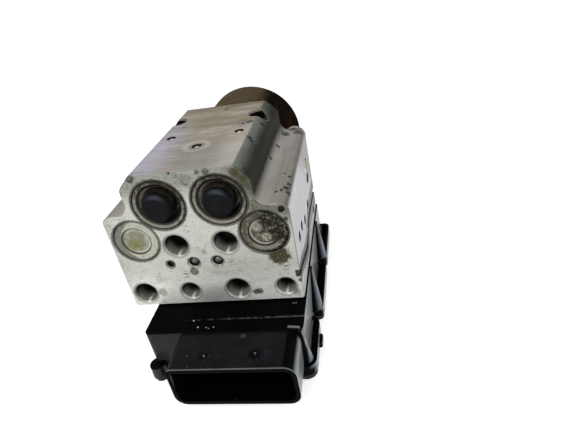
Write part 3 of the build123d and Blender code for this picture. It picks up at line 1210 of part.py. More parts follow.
# ---------------------------------------------------------------- build everything
def main():
    """Write every sub-part."""
    os.makedirs("parts", exist_ok=True)
    save("valve_block", valve_block())
    save("front_ball_plugs", ball_plugs(FRONT_BALLS, (0, -1, 0)))
    save("top_ball_plugs", ball_plugs(TOP_BALLS, (0, 0, 1)))
    save("side_ball_plugs", side_ball_plugs())
    for name, side in SIDES.items():
        save(f"{name}_accumulator_cover", accumulator_cover(side))
        save(f"{name}_accumulator_cap", accumulator_cap(side))
        save(f"{name}_accumulator_piston", accumulator_piston(side))
        save(f"{name}_accumulator_seal", accumulator_seal(side))
        save(f"{name}_accumulator_spring", accumulator_spring(side))
        save(f"{name}_damper_plug", damper_plug(side))
        save(f"{name}_damper_element", damper_element(side))
        save(f"{name}_pump_plug", pump_plug(side))
        save(f"{name}_pump_sleeve", pump_sleeve(side))
        save(f"{name}_pump_piston", pump_piston(side))
        save(f"{name}_pump_spring", pump_spring(side))
    save("pump_outlet_balls", pump_balls())
    save("eccentric_ring", eccentric_ring())
    save("motor_shaft", motor_shaft())
    tail_outer = TAIL_BEARING_RADIUS - FIT_GAP
    save("tail_bearing", ring_of(SHAFT_RADIUS + RUN_GAP, tail_outer, TAIL_FRONT + 0.6, CAVITY_FRONT))
    save("bearing_outer_ring", bearing_ring(BEARING_SPLIT, BEARING_RADIUS - FIT_GAP))
    save("bearing_inner_ring", bearing_ring(SHAFT_RADIUS + 0.02, BEARING_SPLIT - SEAT_GAP))
    save("motor_can", motor_can())
    save("rear_bush", rear_bush())
    save("motor_end_plate", motor_end_plate())
    save("motor_screws", motor_screws())
    save("motor_magnets", motor_magnets())
    save("armature_core", armature_core())
    save("armature_windings", armature_windings())
    save("commutator", commutator())
    save("brush_holder", brush_holder())
    save("carbon_brushes", carbon_brushes())
    save("motor_terminals", motor_terminals())
    for column, kind in enumerate(("inlet", "outlet")):
        x = VALVE_XS[column]
        for row, y in enumerate(VALVE_YS):
            save(f"{kind}_valve_{row + 1}", valve_cartridge(x, y, kind))
        save(f"{kind}_valve_coils", group([valve_coil(x, y) for y in VALVE_YS]))
    save("ecu_housing", ecu_housing())
    save("ecu_cover", ecu_cover())
    save("ecu_gasket", ecu_gasket())
    save("circuit_board", circuit_board())
    save("narrow_connector_pins", connector_pins(False))
    save("wide_connector_pins", connector_pins(True))
    save("ecu_screws", ecu_screws())


main()
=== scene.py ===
"""Dressed model of an anti-lock brake module: materials, small trim, stage, lights and camera.

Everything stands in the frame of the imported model: X to the right, Y backwards towards the
motor, Z up, in metres. Names that end in _MM hold millimetres.
"""
from math import pi

import bmesh
import bpy
import numpy as np
from mathutils import Matrix, Vector


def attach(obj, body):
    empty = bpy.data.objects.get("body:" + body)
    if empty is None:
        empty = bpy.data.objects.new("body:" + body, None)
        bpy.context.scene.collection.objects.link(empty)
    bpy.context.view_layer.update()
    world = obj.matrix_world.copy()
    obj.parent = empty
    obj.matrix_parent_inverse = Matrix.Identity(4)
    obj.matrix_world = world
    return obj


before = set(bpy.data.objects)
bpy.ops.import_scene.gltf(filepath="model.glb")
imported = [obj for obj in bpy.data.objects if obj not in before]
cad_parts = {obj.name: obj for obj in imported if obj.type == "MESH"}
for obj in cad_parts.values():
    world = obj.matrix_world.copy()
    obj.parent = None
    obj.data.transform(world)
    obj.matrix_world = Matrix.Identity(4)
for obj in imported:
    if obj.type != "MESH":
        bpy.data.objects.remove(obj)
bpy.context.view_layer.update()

bl_info = {
    "name": "Brake module dressing",
    "version": (1, 0, 0),
    "blender": (4, 5, 0),
    "location": "3D View > Sidebar > Brake module",
    "description": "Finishes and trims the packed anti-lock brake module",
    "category": "Object",
}

MM = 0.001

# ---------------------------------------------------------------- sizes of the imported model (mm)
BLOCK_TOP_MM = 98.6
FRONT_Y_MM = 0.0
SIDE_X_MM = 43.5          # right side face of the block
HOUSING_TOP_MM = 25.6
HOUSING_STEP_Y_MM = -11.1
WALL_X_MM = 44.3          # right wall of the housing
SHROUD_BACK_Y_MM = -19.0
MOUTH_Y_MM = -41.0
PORTS_MM = (          # x, z, core radius
    (-11.8, 61.6, 5.5), (11.8, 61.6, 5.5), (-35.6, 34.8, 5.5),
    (-12.0, 34.8, 4.5), (12.0, 34.8, 5.5), (35.6, 34.8, 4.5))
BRACKET_HOLES_MM = ((-23.0, 67.0, 5.1), (23.0, 67.0, 5.1))
ACCUMULATORS_MM = ((-13.9, 83.2), (13.9, 83.2))
DAMPERS_MM = ((-30.5, 65.5), (30.5, 65.5))
FRONT_PLUGS_MM = ((-5.8, 51.7, 2.7), (5.8, 51.7, 2.7), (-17.6, 51.5, 1.9))     # x, z, radius
TOP_PLUGS_MM = (      # x, y, radius
    (0.0, 27.4, 1.9), (-17.6, 41.8, 1.7), (17.6, 41.8, 1.7), (2.4, 80.2, 1.3))
SIDE_PLUGS_MM = ((53.8, 47.7), (36.5, 48.6), (24.2, 52.5), (14.0, 53.0), (74.5, 32.0))      # y, z
# painted glint in the right side's groove: y, z
GROOVE_PAINTED_GLINT_MM = (39.0, 39.6)
GROOVE_MM = (         # y, z of the channel's bends
    (-2.0, 42.2), (8.0, 41.2), (24.0, 36.4), (33.0, 35.2), (43.0, 39.4), (53.0, 41.4), (90.0, 38.8))

# ---------------------------------------------------------------- added trim (mm)
THREAD_RIDGE_MM = 0.34
THREAD_STEPS_ROUND = 72
THREAD_STEPS_PER_PITCH = 8
PORT_THREAD_MM = (10.6, 0.9)            # length, depth of its start
BRACKET_THREAD_MM = (1.5, 8.6, 6.2)     # pitch, length, depth of its start


def srgb(red, green, blue):
    """Linear colour from display values of 0 to 255."""
    return tuple(((v / 255 + 0.055) / 1.055) ** 2.4 if v > 10 else v / 255 / 12.92
                 for v in (red, green, blue))


# ---------------------------------------------------------------- colours
# painted light of the port face's lower part
FRONT_PAINTED_LIGHT = srgb(244, 246, 238)
FRONT_GREY = srgb(206, 208, 199)
# painted shade of the port face, also used for its random streaks
FRONT_SHADE_AND_MOTTLE = srgb(84, 85, 73)
# painted dark reflection below the middle of the port face
FRONT_DARK_REFLECTION = srgb(112, 113, 118)
SIDE_LILAC = srgb(184, 181, 186)
CROWN_BROWN = srgb(138, 128, 107)
CROWN_GREY = srgb(154, 149, 142)
CROWN_LILAC = srgb(176, 172, 188)
CROWN_DARK = srgb(82, 71, 54)
CROWN_PALE = srgb(204, 198, 188)
CHAMFER_GREY = srgb(118, 122, 115)
# painted shade of the neck and towards the back, also its dark drawn streaks
NECK_SHADE_AND_STREAKS = srgb(24, 23, 20)
# painted light of the fillet
FILLET_PAINTED_LIGHT = srgb(156, 152, 145)
# painted shade, mid grey, on the shoulder and the side faces; painted light on the bracket holes' walls
PAINTED_SHADING_GREY = srgb(128, 125, 117)
# painted shade, dark grey, on the shoulder's outer edge and the bracket threads
PAINTED_DARK_SHADE = srgb(72, 70, 64)
BACK_GREY = srgb(170, 168, 160)
OIL_OLIVE = srgb(70, 67, 34)
OIL_BROWN = srgb(78, 71, 56)
# dark oil and dirt, also painted shade in holes and cups
DARK_OIL_AND_SHADE = srgb(30, 27, 21)
# painted shade in bores and holes
PAINTED_BORE_SHADE = srgb(9, 9, 7)
# painted light on the lower walls of the ports
PAINTED_BORE_LIGHT = srgb(140, 141, 132)
# painted highlight on edges, streaks and glints
PAINTED_HIGHLIGHT = srgb(236, 236, 230)
CUP_RIM = srgb(150, 148, 134)
CUP_RIM_DARK = srgb(52, 47, 36)
CUP_BEIGE = srgb(206, 201, 182)
CUP_PAINTED_SHADE = srgb(34, 29, 24)
PLUG_LIGHT = srgb(196, 197, 180)
PLUG_SHADE = srgb(140, 141, 120)
PLUG_OLIVE = srgb(126, 122, 58)
PLUG_GRIME = srgb(92, 88, 72)
PLUG_GRIME_DARK = srgb(36, 33, 25)
PLUG_CORRODED = srgb(184, 184, 168)
RUBBER = srgb(11, 12, 14)
RUBBER_PAINTED_SHEEN = srgb(66, 71, 80)
PLASTIC_BLACK = srgb(4, 4, 5)
PLASTIC_TOP = srgb(24, 25, 29)
# painted sheen of the front-left wall, lighter towards the bottom
FRONT_WALL_PAINTED_SHEEN = srgb(52, 54, 57)
# painted sheen and painted highlights of the black plastic
PLASTIC_PAINTED_SHEEN = srgb(122, 127, 129)
# pale strip on the housing's right wall: partly dust, partly painted sheen
WALL_DUST_AND_SHEEN = srgb(188, 190, 187)
# painted sheen of the leaning bosses
BOSS_PAINTED_SHEEN = srgb(140, 150, 160)
# worn plastic, also painted light on the housing's edges
PLASTIC_WEAR_AND_EDGE_LIGHT = srgb(70, 74, 80)
# dust, also painted glints at the pits, on the mouth's bottom edge and in the cups
DUST_AND_GLINT = srgb(206, 206, 204)
CAN_GOLD = srgb(92, 80, 42)
CAN_BROWN = srgb(86, 76, 57)
CAN_PAINTED_SHADE = srgb(20, 18, 14)
CAN_PAINTED_HIGHLIGHT = srgb(128, 114, 58)
CAN_RUST = srgb(66, 42, 22)
STEEL_LIGHT = srgb(206, 206, 202)
# painted shade: a darker copy of the ball steel
SHADED_BALL_LIGHT = srgb(112, 112, 105)
SHADED_BALL_DARK = srgb(48, 46, 40)
STEEL_DARK = srgb(120, 118, 112)

# stains of the port face: x, z, radius in mm, strength, tint
FRONT_STAINS = (
    (7.7, 97.6, 1.0, 0.9, OIL_BROWN), (11.5, 97.4, 1.5, 0.9, OIL_OLIVE), (23.6, 95.9, 2.0, 0.9, OIL_OLIVE),
    (26.8, 92.8, 1.5, 0.9, OIL_OLIVE), (20.6, 32.4, 1.7, 0.9, OIL_BROWN), (22.4, 32.8, 1.7, 0.9, OIL_OLIVE),
    (-26.7, 35.0, 2.3, 0.6, OIL_OLIVE), (35.3, 52.8, 4.8, 1.3, OIL_BROWN), (40.1, 76.6, 1.5, 1.4, DARK_OIL_AND_SHADE),
    (28.0, 79.8, 2.6, 0.4, OIL_OLIVE), (0.5, 57.3, 1.1, 0.5, OIL_OLIVE), (-7.0, 46.6, 2.2, 0.9, OIL_BROWN),
    (-30.0, 90.5, 1.4, 0.5, OIL_OLIVE), (-4.6, 98.2, 0.6, 1.2, DARK_OIL_AND_SHADE), (1.8, 94.0, 3.0, 0.35, OIL_OLIVE),
    (43.0, 38.0, 1.2, 0.9, DARK_OIL_AND_SHADE), (41.4, 71.6, 1.1, 0.9, DARK_OIL_AND_SHADE), (-39.0, 61.0, 1.6, 0.6, OIL_OLIVE),
    (24.0, 89.0, 2.4, 0.5, OIL_BROWN), (-22.5, 97.4, 2.0, 0.8, DARK_OIL_AND_SHADE), (40.0, 31.0, 2.0, 0.5, OIL_BROWN))
# zones of small hatched scratches on the port face: x, z, radius in mm
HATCHES_MM = (
    (-36.0, 45.5, 3.4), (-25.5, 45.5, 2.4), (-11.5, 45.4, 3.4), (13.6, 45.2, 2.6), (37.6, 46.0, 3.6),
    (-4.0, 70.6, 3.0), (0.4, 91.0, 3.6), (12.0, 51.5, 4.0), (9.0, 97.2, 3.4), (-33.0, 78.0, 3.0))
# chips and rust spots of the slopes: x, y, z, radius in mm
CHIPS_MM = (
    (23.6, 33.6, 96.9, 1.5), (24.8, 31.6, 96.0, 1.3), (23.2, 36.2, 97.2, 0.7), (25.2, 28.6, 95.5, 0.9),
    (27.4, 24.4, 93.5, 0.6), (27.1, 10.7, 94.1, 0.6), (26.4, 4.5, 95.0, 0.7), (23.4, 18.4, 97.3, 0.6),
    (26.1, 56.0, 94.9, 1.3), (28.7, 39.8, 91.5, 0.9), (29.6, 33.4, 86.4, 1.2), (29.6, 24.0, 84.5, 0.8),
    (41.0, 14.7, 79.2, 1.5), (39.0, 12.2, 79.4, 1.0), (42.0, 18.6, 78.9, 1.3), (37.0, 11.2, 79.4, 0.8),
    (42.6, 11.2, 78.4, 1.4), (41.6, 26.0, 79.1, 0.9), (38.6, 29.0, 79.4, 0.6), (30.4, 42.0, 82.6, 1.1),
    (20.6, 53.4, 98.6, 1.9), (17.6, 51.8, 98.6, 1.1), (31.4, 60.0, 81.0, 1.2), (33.0, 80.0, 80.0, 2.4),
    (40.0, 83.0, 79.4, 2.6), (-15.2, 57.0, 98.6, 0.7), (-25.8, 22.0, 95.4, 1.3), (-28.6, 49.0, 92.3, 1.1),
    (-39.8, 31.0, 79.4, 1.6), (-36.0, 66.0, 79.4, 1.3))
# dark rings round the seats of the port face: x, z, radius in mm
HALOS_MM = (tuple(place + (12.5,) for place in ACCUMULATORS_MM)
            + tuple(place + (11.2,) for place in DAMPERS_MM) + FRONT_PLUGS_MM)
# pits of the plug shroud's top: x, y
PITS_MM = ((0.8, -33.2), (23.9, -32.8))
# chips of dust on the housing's top: x, y, radius
DUST_CHIPS_MM = (
    (-6.4, -15.6, 0.4), (1.3, -15.8, 0.3), (-2.3, -16.0, 0.25), (-0.9, -16.6, 0.2), (6.3, -2.6, 0.3),
    (38.0, -2.5, 0.6), (39.2, -2.3, 0.6), (-9.8, -11.2, 0.4))


# ---------------------------------------------------------------- shader maths
class Value:
    """A number in a node tree: a plain number or a node's output socket, with the operators."""

    def __init__(self, tree, source):
        self.tree = tree
        self.source = source

    def math(self, operation, *others, clamp=False):
        """Math node of this value and the others."""
        inputs = {i: item for i, item in enumerate((self,) + others)}
        return self.tree.node("ShaderNodeMath", {"operation": operation, "use_clamp": clamp}, inputs)

    def __add__(self, other):
        return self.math("ADD", other)

    __radd__ = __add__

    def __sub__(self, other):
        return self.math("SUBTRACT", other)

    def __rsub__(self, other):
        return Value(self.tree, other).math("SUBTRACT", self)

    def __mul__(self, other):
        return self.math("MULTIPLY", other)

    def __pow__(self, other):
        return self.math("POWER", other)

    def abs(self):
        """Without its sign."""
        return self.math("ABSOLUTE")

    def low(self, other):
        """The smaller of the two."""
        return self.math("MINIMUM", other)

    def high(self, other):
        """The larger of the two."""
        return self.math("MAXIMUM", other)

    def clamp(self):
        """Held between 0 and 1."""
        return self.math("ADD", 0.0, clamp=True)

    def step(self, start, end):
        """Smooth step: 0 at start, 1 at end, in either direction."""
        settings = {"interpolation_type": "SMOOTHSTEP"}
        if start < end:
            inputs = {"Value": self, "From Min": start, "From Max": end, "To Min": 0.0, "To Max": 1.0}
        else:
            inputs = {"Value": self, "From Min": end, "From Max": start, "To Min": 1.0, "To Max": 0.0}
        return self.tree.node("ShaderNodeMapRange", settings, inputs)

    def span(self, low, high, soft):
        """1 between low and high, fading to 0 over soft on both sides."""
        return self.step(low - soft, low) * self.step(high + soft, high)


class Colour:
    """A colour in a node tree: a plain (r, g, b) or a node's output socket."""

    def __init__(self, tree, source):
        self.tree = tree
        self.source = source

    def mix(self, other, factor):
        """This colour turned into the other one by a factor from 0 to 1."""
        settings = {"data_type": "RGBA", "blend_type": "MIX", "clamp_factor": True}
        mixed = self.tree.node("ShaderNodeMix", settings, {0: factor, 6: self, 7: other}, 2)
        return Colour(self.tree, mixed.source)

    def under(self, *layers):
        """This colour below (tint, mask) layers, each laid over the ones before it."""
        result = self
        for tint, mask in layers:
            result = result.mix(tint, mask)
        return result


class Tree:
    """The node tree of one new material or world, in which one method adds any node."""

    def __init__(self, name, kind="materials"):
        self.owner = getattr(bpy.data, kind).new(name)
        self.owner.use_nodes = True
        self.nodes = self.owner.node_tree.nodes
        self.links = self.owner.node_tree.links
        self.nodes.clear()
        coordinates = self.node("ShaderNodeTexCoord", output=None).outputs
        scaled = self.node("ShaderNodeVectorMath", {"operation": "SCALE"},
                           {0: coordinates["Object"], 3: 1.0 / MM})
        self.place = scaled.source          # object coordinates in millimetres
        self.x, self.y, self.z = self.parts(self.place)
        self.nx, self.ny, self.nz = self.parts(coordinates["Normal"])

    def set_input(self, socket, item):
        """Link or set one input socket."""
        source = item.source if isinstance(item, (Value, Colour)) else item
        if isinstance(source, bpy.types.NodeSocket):
            self.links.new(source, socket)
        elif isinstance(source, tuple) and len(source) == 3 and socket.type == "RGBA":
            socket.default_value = source + (1.0,)
        else:
            socket.default_value = source

    def node(self, kind, settings=None, inputs=None, output=0):
        """Add a node: its settings first, then its inputs; returns one output as a Value, or the node."""
        made = self.nodes.new(kind)
        for name, value in (settings or {}).items():
            setattr(made, name, value)
        for key, item in (inputs or {}).items():
            self.set_input(made.inputs[key], item)
        return made if output is None else Value(self, made.outputs[output])

    def parts(self, vector):
        """The three parts of a vector."""
        split = self.node("ShaderNodeSeparateXYZ", {}, {0: vector}, None)
        return [Value(self, part) for part in split.outputs]

    def at(self, x=1.0, y=1.0, z=1.0, shift=(0.0, 0.0, 0.0), turn=(0.0, 0.0, 0.0)):
        """Millimetre coordinates turned, stretched by the three factors and shifted."""
        return self.node("ShaderNodeMapping", {}, {
            "Vector": self.place, "Location": shift, "Rotation": turn, "Scale": (x, y, z)}).source

    def noise(self, size, detail=3.0, rough=0.55, where=None):
        """Noise from 0 to 1 whose blobs are about size mm wide."""
        return self.node("ShaderNodeTexNoise", {}, {
            "Vector": where or self.place, "Scale": 1.0 / size, "Detail": detail, "Roughness": rough})

    def cells(self, size, where):
        """Distance to scattered points about size mm apart, in parts of size."""
        return self.node("ShaderNodeTexVoronoi", {"feature": "F1"}, {
            "Vector": where, "Scale": 1.0 / size, "Randomness": 1.0})

    def colour(self, rgb, *layers):
        """A plain colour below (tint, mask) layers, each laid over the ones before it."""
        return Colour(self, rgb).under(*layers)

    def spot(self, x, y, z, radius, soft, ragged=None, amount=0.0):
        """1 within a ball about a point, fading over soft; ragged noise shifts its edge."""
        away = ((self.x - x) ** 2.0 + (self.y - y) ** 2.0 + (self.z - z) ** 2.0).math("SQRT")
        if ragged is not None:
            away = away + (ragged - 0.5) * amount
        return away.step(radius + soft, radius - soft)

    def bevelled(self, radius):
        """Shading normal rounded over sharp edges, radius in mm."""
        return self.node("ShaderNodeBevel", {"samples": 4}, {"Radius": radius * MM})

    def edges(self, radius):
        """1 at sharp edges, 0 on flats, from how far the rounded normal leans from the flat one."""
        bent = self.bevelled(radius)
        flat = self.node("ShaderNodeNewGeometry", {}, {}, 3)
        lean = self.node("ShaderNodeVectorMath", {"operation": "DOT_PRODUCT"}, {0: bent, 1: flat}, 1)
        return (1.0 - lean).step(0.02, 0.25)

    def finish(self, base, rough, metal=0.0, height=None, depth=0.1, bevel=0.0, **others):
        """Close the tree with one Principled shader; depth is the bump's height in mm."""
        inputs = {"Base Color": base, "Roughness": rough, "Metallic": metal}
        for name, item in others.items():
            inputs[name.replace("_", " ")] = item
        relief = {"Normal": self.bevelled(bevel)} if bevel else {}
        if height is not None:
            relief.update({"Strength": 1.0, "Distance": depth * MM, "Height": height})
            relief = {"Normal": self.node("ShaderNodeBump", {}, relief)}
        return self.show(self.node("ShaderNodeBsdfPrincipled", {}, {**inputs, **relief}))

    def show(self, shader, kind="Material"):
        """Send a shader to the tree's output and return what the tree belongs to."""
        self.node("ShaderNodeOutput" + kind, {}, {"Surface": shader}, None)
        return self.owner


# ---------------------------------------------------------------- patterns shared by the finishes
def smudges(t, size, low, high, seed=0.0):
    """Soft patches: 0 where the noise is under low, 1 over high."""
    return t.noise(size, 4.0, 0.6, t.at(shift=(seed, seed * 1.7, -seed))).step(low, high)


def specks(t, size, share, seed=0.0):
    """Small round specks about size mm apart; share sets how large each is."""
    return t.cells(size, t.at(shift=(seed, -seed, seed * 0.6))).step(share, share * 0.45)


def squiggles(t, size, width, seed):
    """Thin wandering lines: 1 where the noise passes its middle."""
    field = t.noise(size, 3.0, 0.6, t.at(x=1.5, shift=(seed, seed, -seed)))
    return (field - 0.5).abs().step(width, width * 0.3)


def length_of(first, second):
    """Length in mm of two parts at right angles: the root of the sum of their squares."""
    return (first ** 2.0 + second ** 2.0).math("SQRT")


def pin_at(t, y, z):
    """Distance in mm from an axis along X."""
    return length_of(t.y - y, t.z - z)


def disc_at(t, x, z):
    """Distance in mm from an axis along Y."""
    return length_of(t.x - x, t.z - z)


def post_at(t, x, y):
    """Distance in mm from an axis along Z."""
    return length_of(t.x - x, t.y - y)


def port_walls(t):
    """Mask of the ports' walls and their colour: painted shade, black above and deeper in; painted light,
    grey below; a painted highlight along the lowest line.
    """
    inside = height = streak = t.x * 0.0
    for x, z, radius in PORTS_MM:
        mask = disc_at(t, x, z).step(radius + 0.55, radius + 0.25) * t.y.step(16.0, 15.0)
        level = (t.z - z) * (1.0 / radius)
        inside = inside + mask
        height = height + mask * level
        # painted highlight: a streak along the lowest line of each port's wall
        wedge = ((t.x - (x - 0.3)).abs() + t.y * 0.12).step(1.4, 0.2) * level.step(-0.2, -0.8)
        streak = streak + mask * wedge * t.y.step(9.0, 2.0)
    rings = t.noise(0.5, 2.0, 0.6, t.at(x=0.05, z=0.05)).step(0.3, 0.7) * 0.35 + 0.65     # tool marks
    wall = t.colour(
        PAINTED_BORE_SHADE, (PAINTED_BORE_LIGHT, height.step(0.35, -0.55) * rings),
        (OIL_OLIVE, height.step(0.2, 0.6) * t.y.step(2.4, 0.8) * t.noise(2.0, 2.0).step(0.4, 0.6) * 0.9),
        (PAINTED_BORE_SHADE, t.y.step(3.5, 9.0) * 0.9), (PAINTED_HIGHLIGHT, streak.clamp() * 0.95))
    return inside.clamp(), wall


# ---------------------------------------------------------------- finishes
def front_colour(t, blotch, fine):
    """Milled port face: painted light below and at the left, painted shade above and at the upper right, a
    painted dark reflection below the middle, scratched.
    """
    # painted shade: the upper right of the port face, its top band and its far left edge
    corner = t.x.step(16.0, 31.0) * t.z.step(62.0, 78.0)
    painted_shade = t.z.step(82.0, 95.0) * 0.56 + corner * 0.84 + t.x.step(-34.0, -42.0) * 0.14
    mottle = (blotch - 0.5) * 0.5 + (fine - 0.5) * (painted_shade * 0.7 + 0.24)
    # painted dark reflection: an oval below the middle
    sheen = length_of((t.x - 1.0) * 0.045, (t.z - 30.0) * 0.09) + (blotch - 0.5) * 0.5
    zone = t.x * 0.0
    for x, z, radius in HATCHES_MM:
        zone = zone + (disc_at(t, x, z) + (fine - 0.5) * radius).step(radius, radius * 0.4)
    lines = t.noise(0.9, 2.0, 0.5, t.at(x=0.3, turn=(0.0, 1.0, 0.0))).step(0.55, 0.64)
    lines = lines + t.noise(0.9, 2.0, 0.5, t.at(x=0.3, turn=(0.0, -0.6, 0.0))).step(0.56, 0.66)
    olive = smudges(t, 5.0, 0.52, 0.74, 3.0) * fine.step(0.4, 0.7) * (painted_shade + 0.4).clamp()
    return t.colour(
        FRONT_GREY, (FRONT_PAINTED_LIGHT, t.z.step(50.0, 34.0)), (FRONT_SHADE_AND_MOTTLE, (painted_shade + mottle).clamp()),
        (FRONT_DARK_REFLECTION, sheen.step(1.0, 0.25) * 0.55),
        (FRONT_SHADE_AND_MOTTLE, t.noise(5.0, 4.0, 0.6, t.at(x=0.35, turn=(0.0, 0.25, 0.0))).step(0.5, 0.8) * 0.35),
        (OIL_BROWN, (lines * (zone.clamp() * 0.5 + painted_shade * 0.3 + 0.08)).clamp()),
        (OIL_BROWN, squiggles(t, 6.0, 0.008, 8.0) * smudges(t, 8.0, 0.48, 0.58, 9.0) * 0.6),
        (DARK_OIL_AND_SHADE, specks(t, 2.0, 0.15, 7.0) * smudges(t, 7.0, 0.44, 0.56, 2.0) * 0.75),
        (OIL_OLIVE, olive * 0.8))


def crown_colour(t, blotch, fine):
    """Brushed crown: lilac at the left, grey in front, brown with dark streaks towards the motor."""
    brush = t.noise(0.6, 4.0, 0.65, t.at(x=0.06, turn=(0.0, 0.0, 0.06)))
    broad = t.noise(6.0, 3.0, 0.55, t.at(x=0.22, turn=(0.0, 0.0, 0.06)))
    return t.colour(
        CROWN_BROWN, (CROWN_GREY, t.y.step(62.0, 6.0)),
        (CROWN_LILAC, t.x.step(-4.0, -21.0) * t.y.step(80.0, 30.0) * 0.9),
        (CROWN_PALE, (brush * 0.7 + broad * 0.6).step(0.62, 0.86) * 0.55),
        (CROWN_DARK, (brush * 0.6 + broad * 0.7).step(0.63, 0.38) * 0.6),
        (CROWN_DARK, t.spot(4.0, 14.0, BLOCK_TOP_MM, 12.0, 9.0, blotch, 12.0) * broad.step(0.3, 0.6) * 0.25),
        (CROWN_DARK, smudges(t, 3.0, 0.5, 0.7, 17.0) * fine.step(0.4, 0.7) * t.y.step(10.0, 40.0) * 0.45),
        (OIL_BROWN, t.spot(18.0, 54.0, BLOCK_TOP_MM, 5.0, 3.5, blotch, 9.0) * fine.step(0.3, 0.6) * 0.8),
        (CROWN_PALE, t.x.step(8.0, 20.0) * t.y.span(2.0, 46.0, 14.0) * (blotch * 0.5 + 0.1)),
        (CROWN_DARK, t.y.step(70.0, 88.0) * fine.step(0.35, 0.65) * 0.6),
        (OIL_BROWN, smudges(t, 7.0, 0.58, 0.78, 11.0) * 0.4)), brush


def slope_colour(t, blotch, fine):
    """Drawn skin of chamfer, neck, fillet and shoulder: painted shade on the neck, on the shoulder and
    towards the back, painted light on the fillet, pale and dark drawn streaks.
    """
    across = t.x.abs()
    drawn = t.noise(1.3, 4.0, 0.55, t.at(y=0.05))
    pale = (drawn * 0.5 + fine * 0.6).step(0.58, 0.75) * t.z.step(84.0, 81.0)
    # painted shade on the neck, the shoulder and the back, painted light on the fillet
    return t.colour(
        CHAMFER_GREY, (NECK_SHADE_AND_STREAKS, (across + (blotch - 0.5) * 2.0).step(23.2, 28.6) * 0.93),
        (FILLET_PAINTED_LIGHT, t.z.step(85.6, 80.6)),
        (PAINTED_SHADING_GREY, across.step(37.0, 40.5) * 0.8),
        (PAINTED_DARK_SHADE, across.step(40.5, 43.0) * 0.8),
        (NECK_SHADE_AND_STREAKS, t.y.step(60.0, 88.0) * across.step(36.0, 30.0) * 0.6),
        (NECK_SHADE_AND_STREAKS, (drawn * 0.6 + blotch * 0.3 + fine * 0.25).step(0.55, 0.85) * 0.42),
        (CROWN_PALE, pale * 0.3)), drawn


def side_colour(t, blotch, fine):
    """Bright side faces with painted shade, grey behind and above and darker low down, with a brown, oily
    groove on the right.
    """
    return t.colour(
        SIDE_LILAC, (FRONT_GREY, blotch.step(0.45, 0.75) * 0.5),
        # painted shade on the sides: behind and above a slanted line, and low down
        (PAINTED_SHADING_GREY, (t.y * 0.75 + t.z + blotch * 9.0).step(106.0, 124.0) * 0.75),
        (PAINTED_SHADING_GREY, t.z.step(38.0, 29.0) * 0.4),
        (OIL_BROWN, smudges(t, 4.0, 0.6, 0.78, 14.0) * fine.step(0.4, 0.7) * 0.6))


def groove_mask(t):
    """1 along the channel of the right side face: distance to its broken line in the YZ plane."""
    away = None
    for (y0, z0), (y1, z1) in zip(GROOVE_MM, GROOVE_MM[1:]):
        length = ((y1 - y0) ** 2 + (z1 - z0) ** 2) ** 0.5
        ty, tz = (y1 - y0) / length, (z1 - z0) / length
        along = ((t.y - y0) * ty + (t.z - z0) * tz).high(0.0).low(length)
        gap = length_of(t.y - y0 - along * ty, t.z - z0 - along * tz)
        away = gap if away is None else away.low(gap)
    inside = away.step(2.3, 1.5) * t.x.step(40.8, 41.4) * t.x.step(SIDE_X_MM - 0.02, SIDE_X_MM - 0.3)
    smear = (away + t.noise(3.0) * 2.4 - t.y * 0.05).step(5.8, 4.6)
    return inside.high(smear * t.x.step(SIDE_X_MM - 0.2, SIDE_X_MM - 0.05) * 0.85)


def seat_rings_and_hole_shade(t, base, front, fine):
    """Dark rings round the seats of the port face and the ports' mouths; painted shade in the ball plugs'
    holes and the side plugs' holes; painted shade on the bracket holes' walls with painted light on their lit
    side.
    """
    mouths = tuple((x, z, core + 0.75, 0.4) for x, z, core in PORTS_MM)
    for x, z, radius, strength in tuple(halo + (0.85,) for halo in HALOS_MM) + mouths:
        reach = disc_at(t, x, z) - radius + (fine - 0.5) * 1.1
        base = base.mix(DARK_OIL_AND_SHADE, reach.step(1.0, 0.3) * reach.step(-0.6, -0.1) * front * strength)
    # painted shade in the front ball plugs' holes
    for x, z, radius in FRONT_PLUGS_MM:
        hole = disc_at(t, x, z).step(radius, radius - 0.4) * t.y.step(0.1, 0.4) * t.y.step(9.0, 8.0)
        base = base.mix(PAINTED_BORE_SHADE, hole)
    below_top = BLOCK_TOP_MM - t.z
    # painted shade inside the top plugs' holes
    for x, y, radius in TOP_PLUGS_MM:
        mask = post_at(t, x, y).step(radius + 1.0, radius + 0.6) * below_top.step(0.02, 0.12)
        base = base.mix(DARK_OIL_AND_SHADE, mask * below_top.step(8.6, 7.6))
    # painted shade in the side plugs' holes
    for y, z in SIDE_PLUGS_MM:
        mask = (pin_at(t, y, z) + (fine - 0.5) * 1.2).step(3.0, 2.6)
        base = base.mix(PAINTED_BORE_SHADE, mask * t.x.abs().step(36.0, 37.0))
    # painted shade on the bracket holes' walls, painted light on their lit side
    for x, y, radius in BRACKET_HOLES_MM:
        mask = post_at(t, x, y).step(radius + 0.95, radius + 0.8) * below_top.step(0.05, 0.4)
        lit = (t.x * (1.0 if x > 0 else -1.0) - t.z * 0.5).step(-23.5, -19.5)
        wall = t.colour(PAINTED_BORE_SHADE, (PAINTED_SHADING_GREY, lit * t.z.step(86.0, 92.0) * 0.8))
        base = base.mix(wall, mask * t.nz.step(0.6, 0.4))
    return base


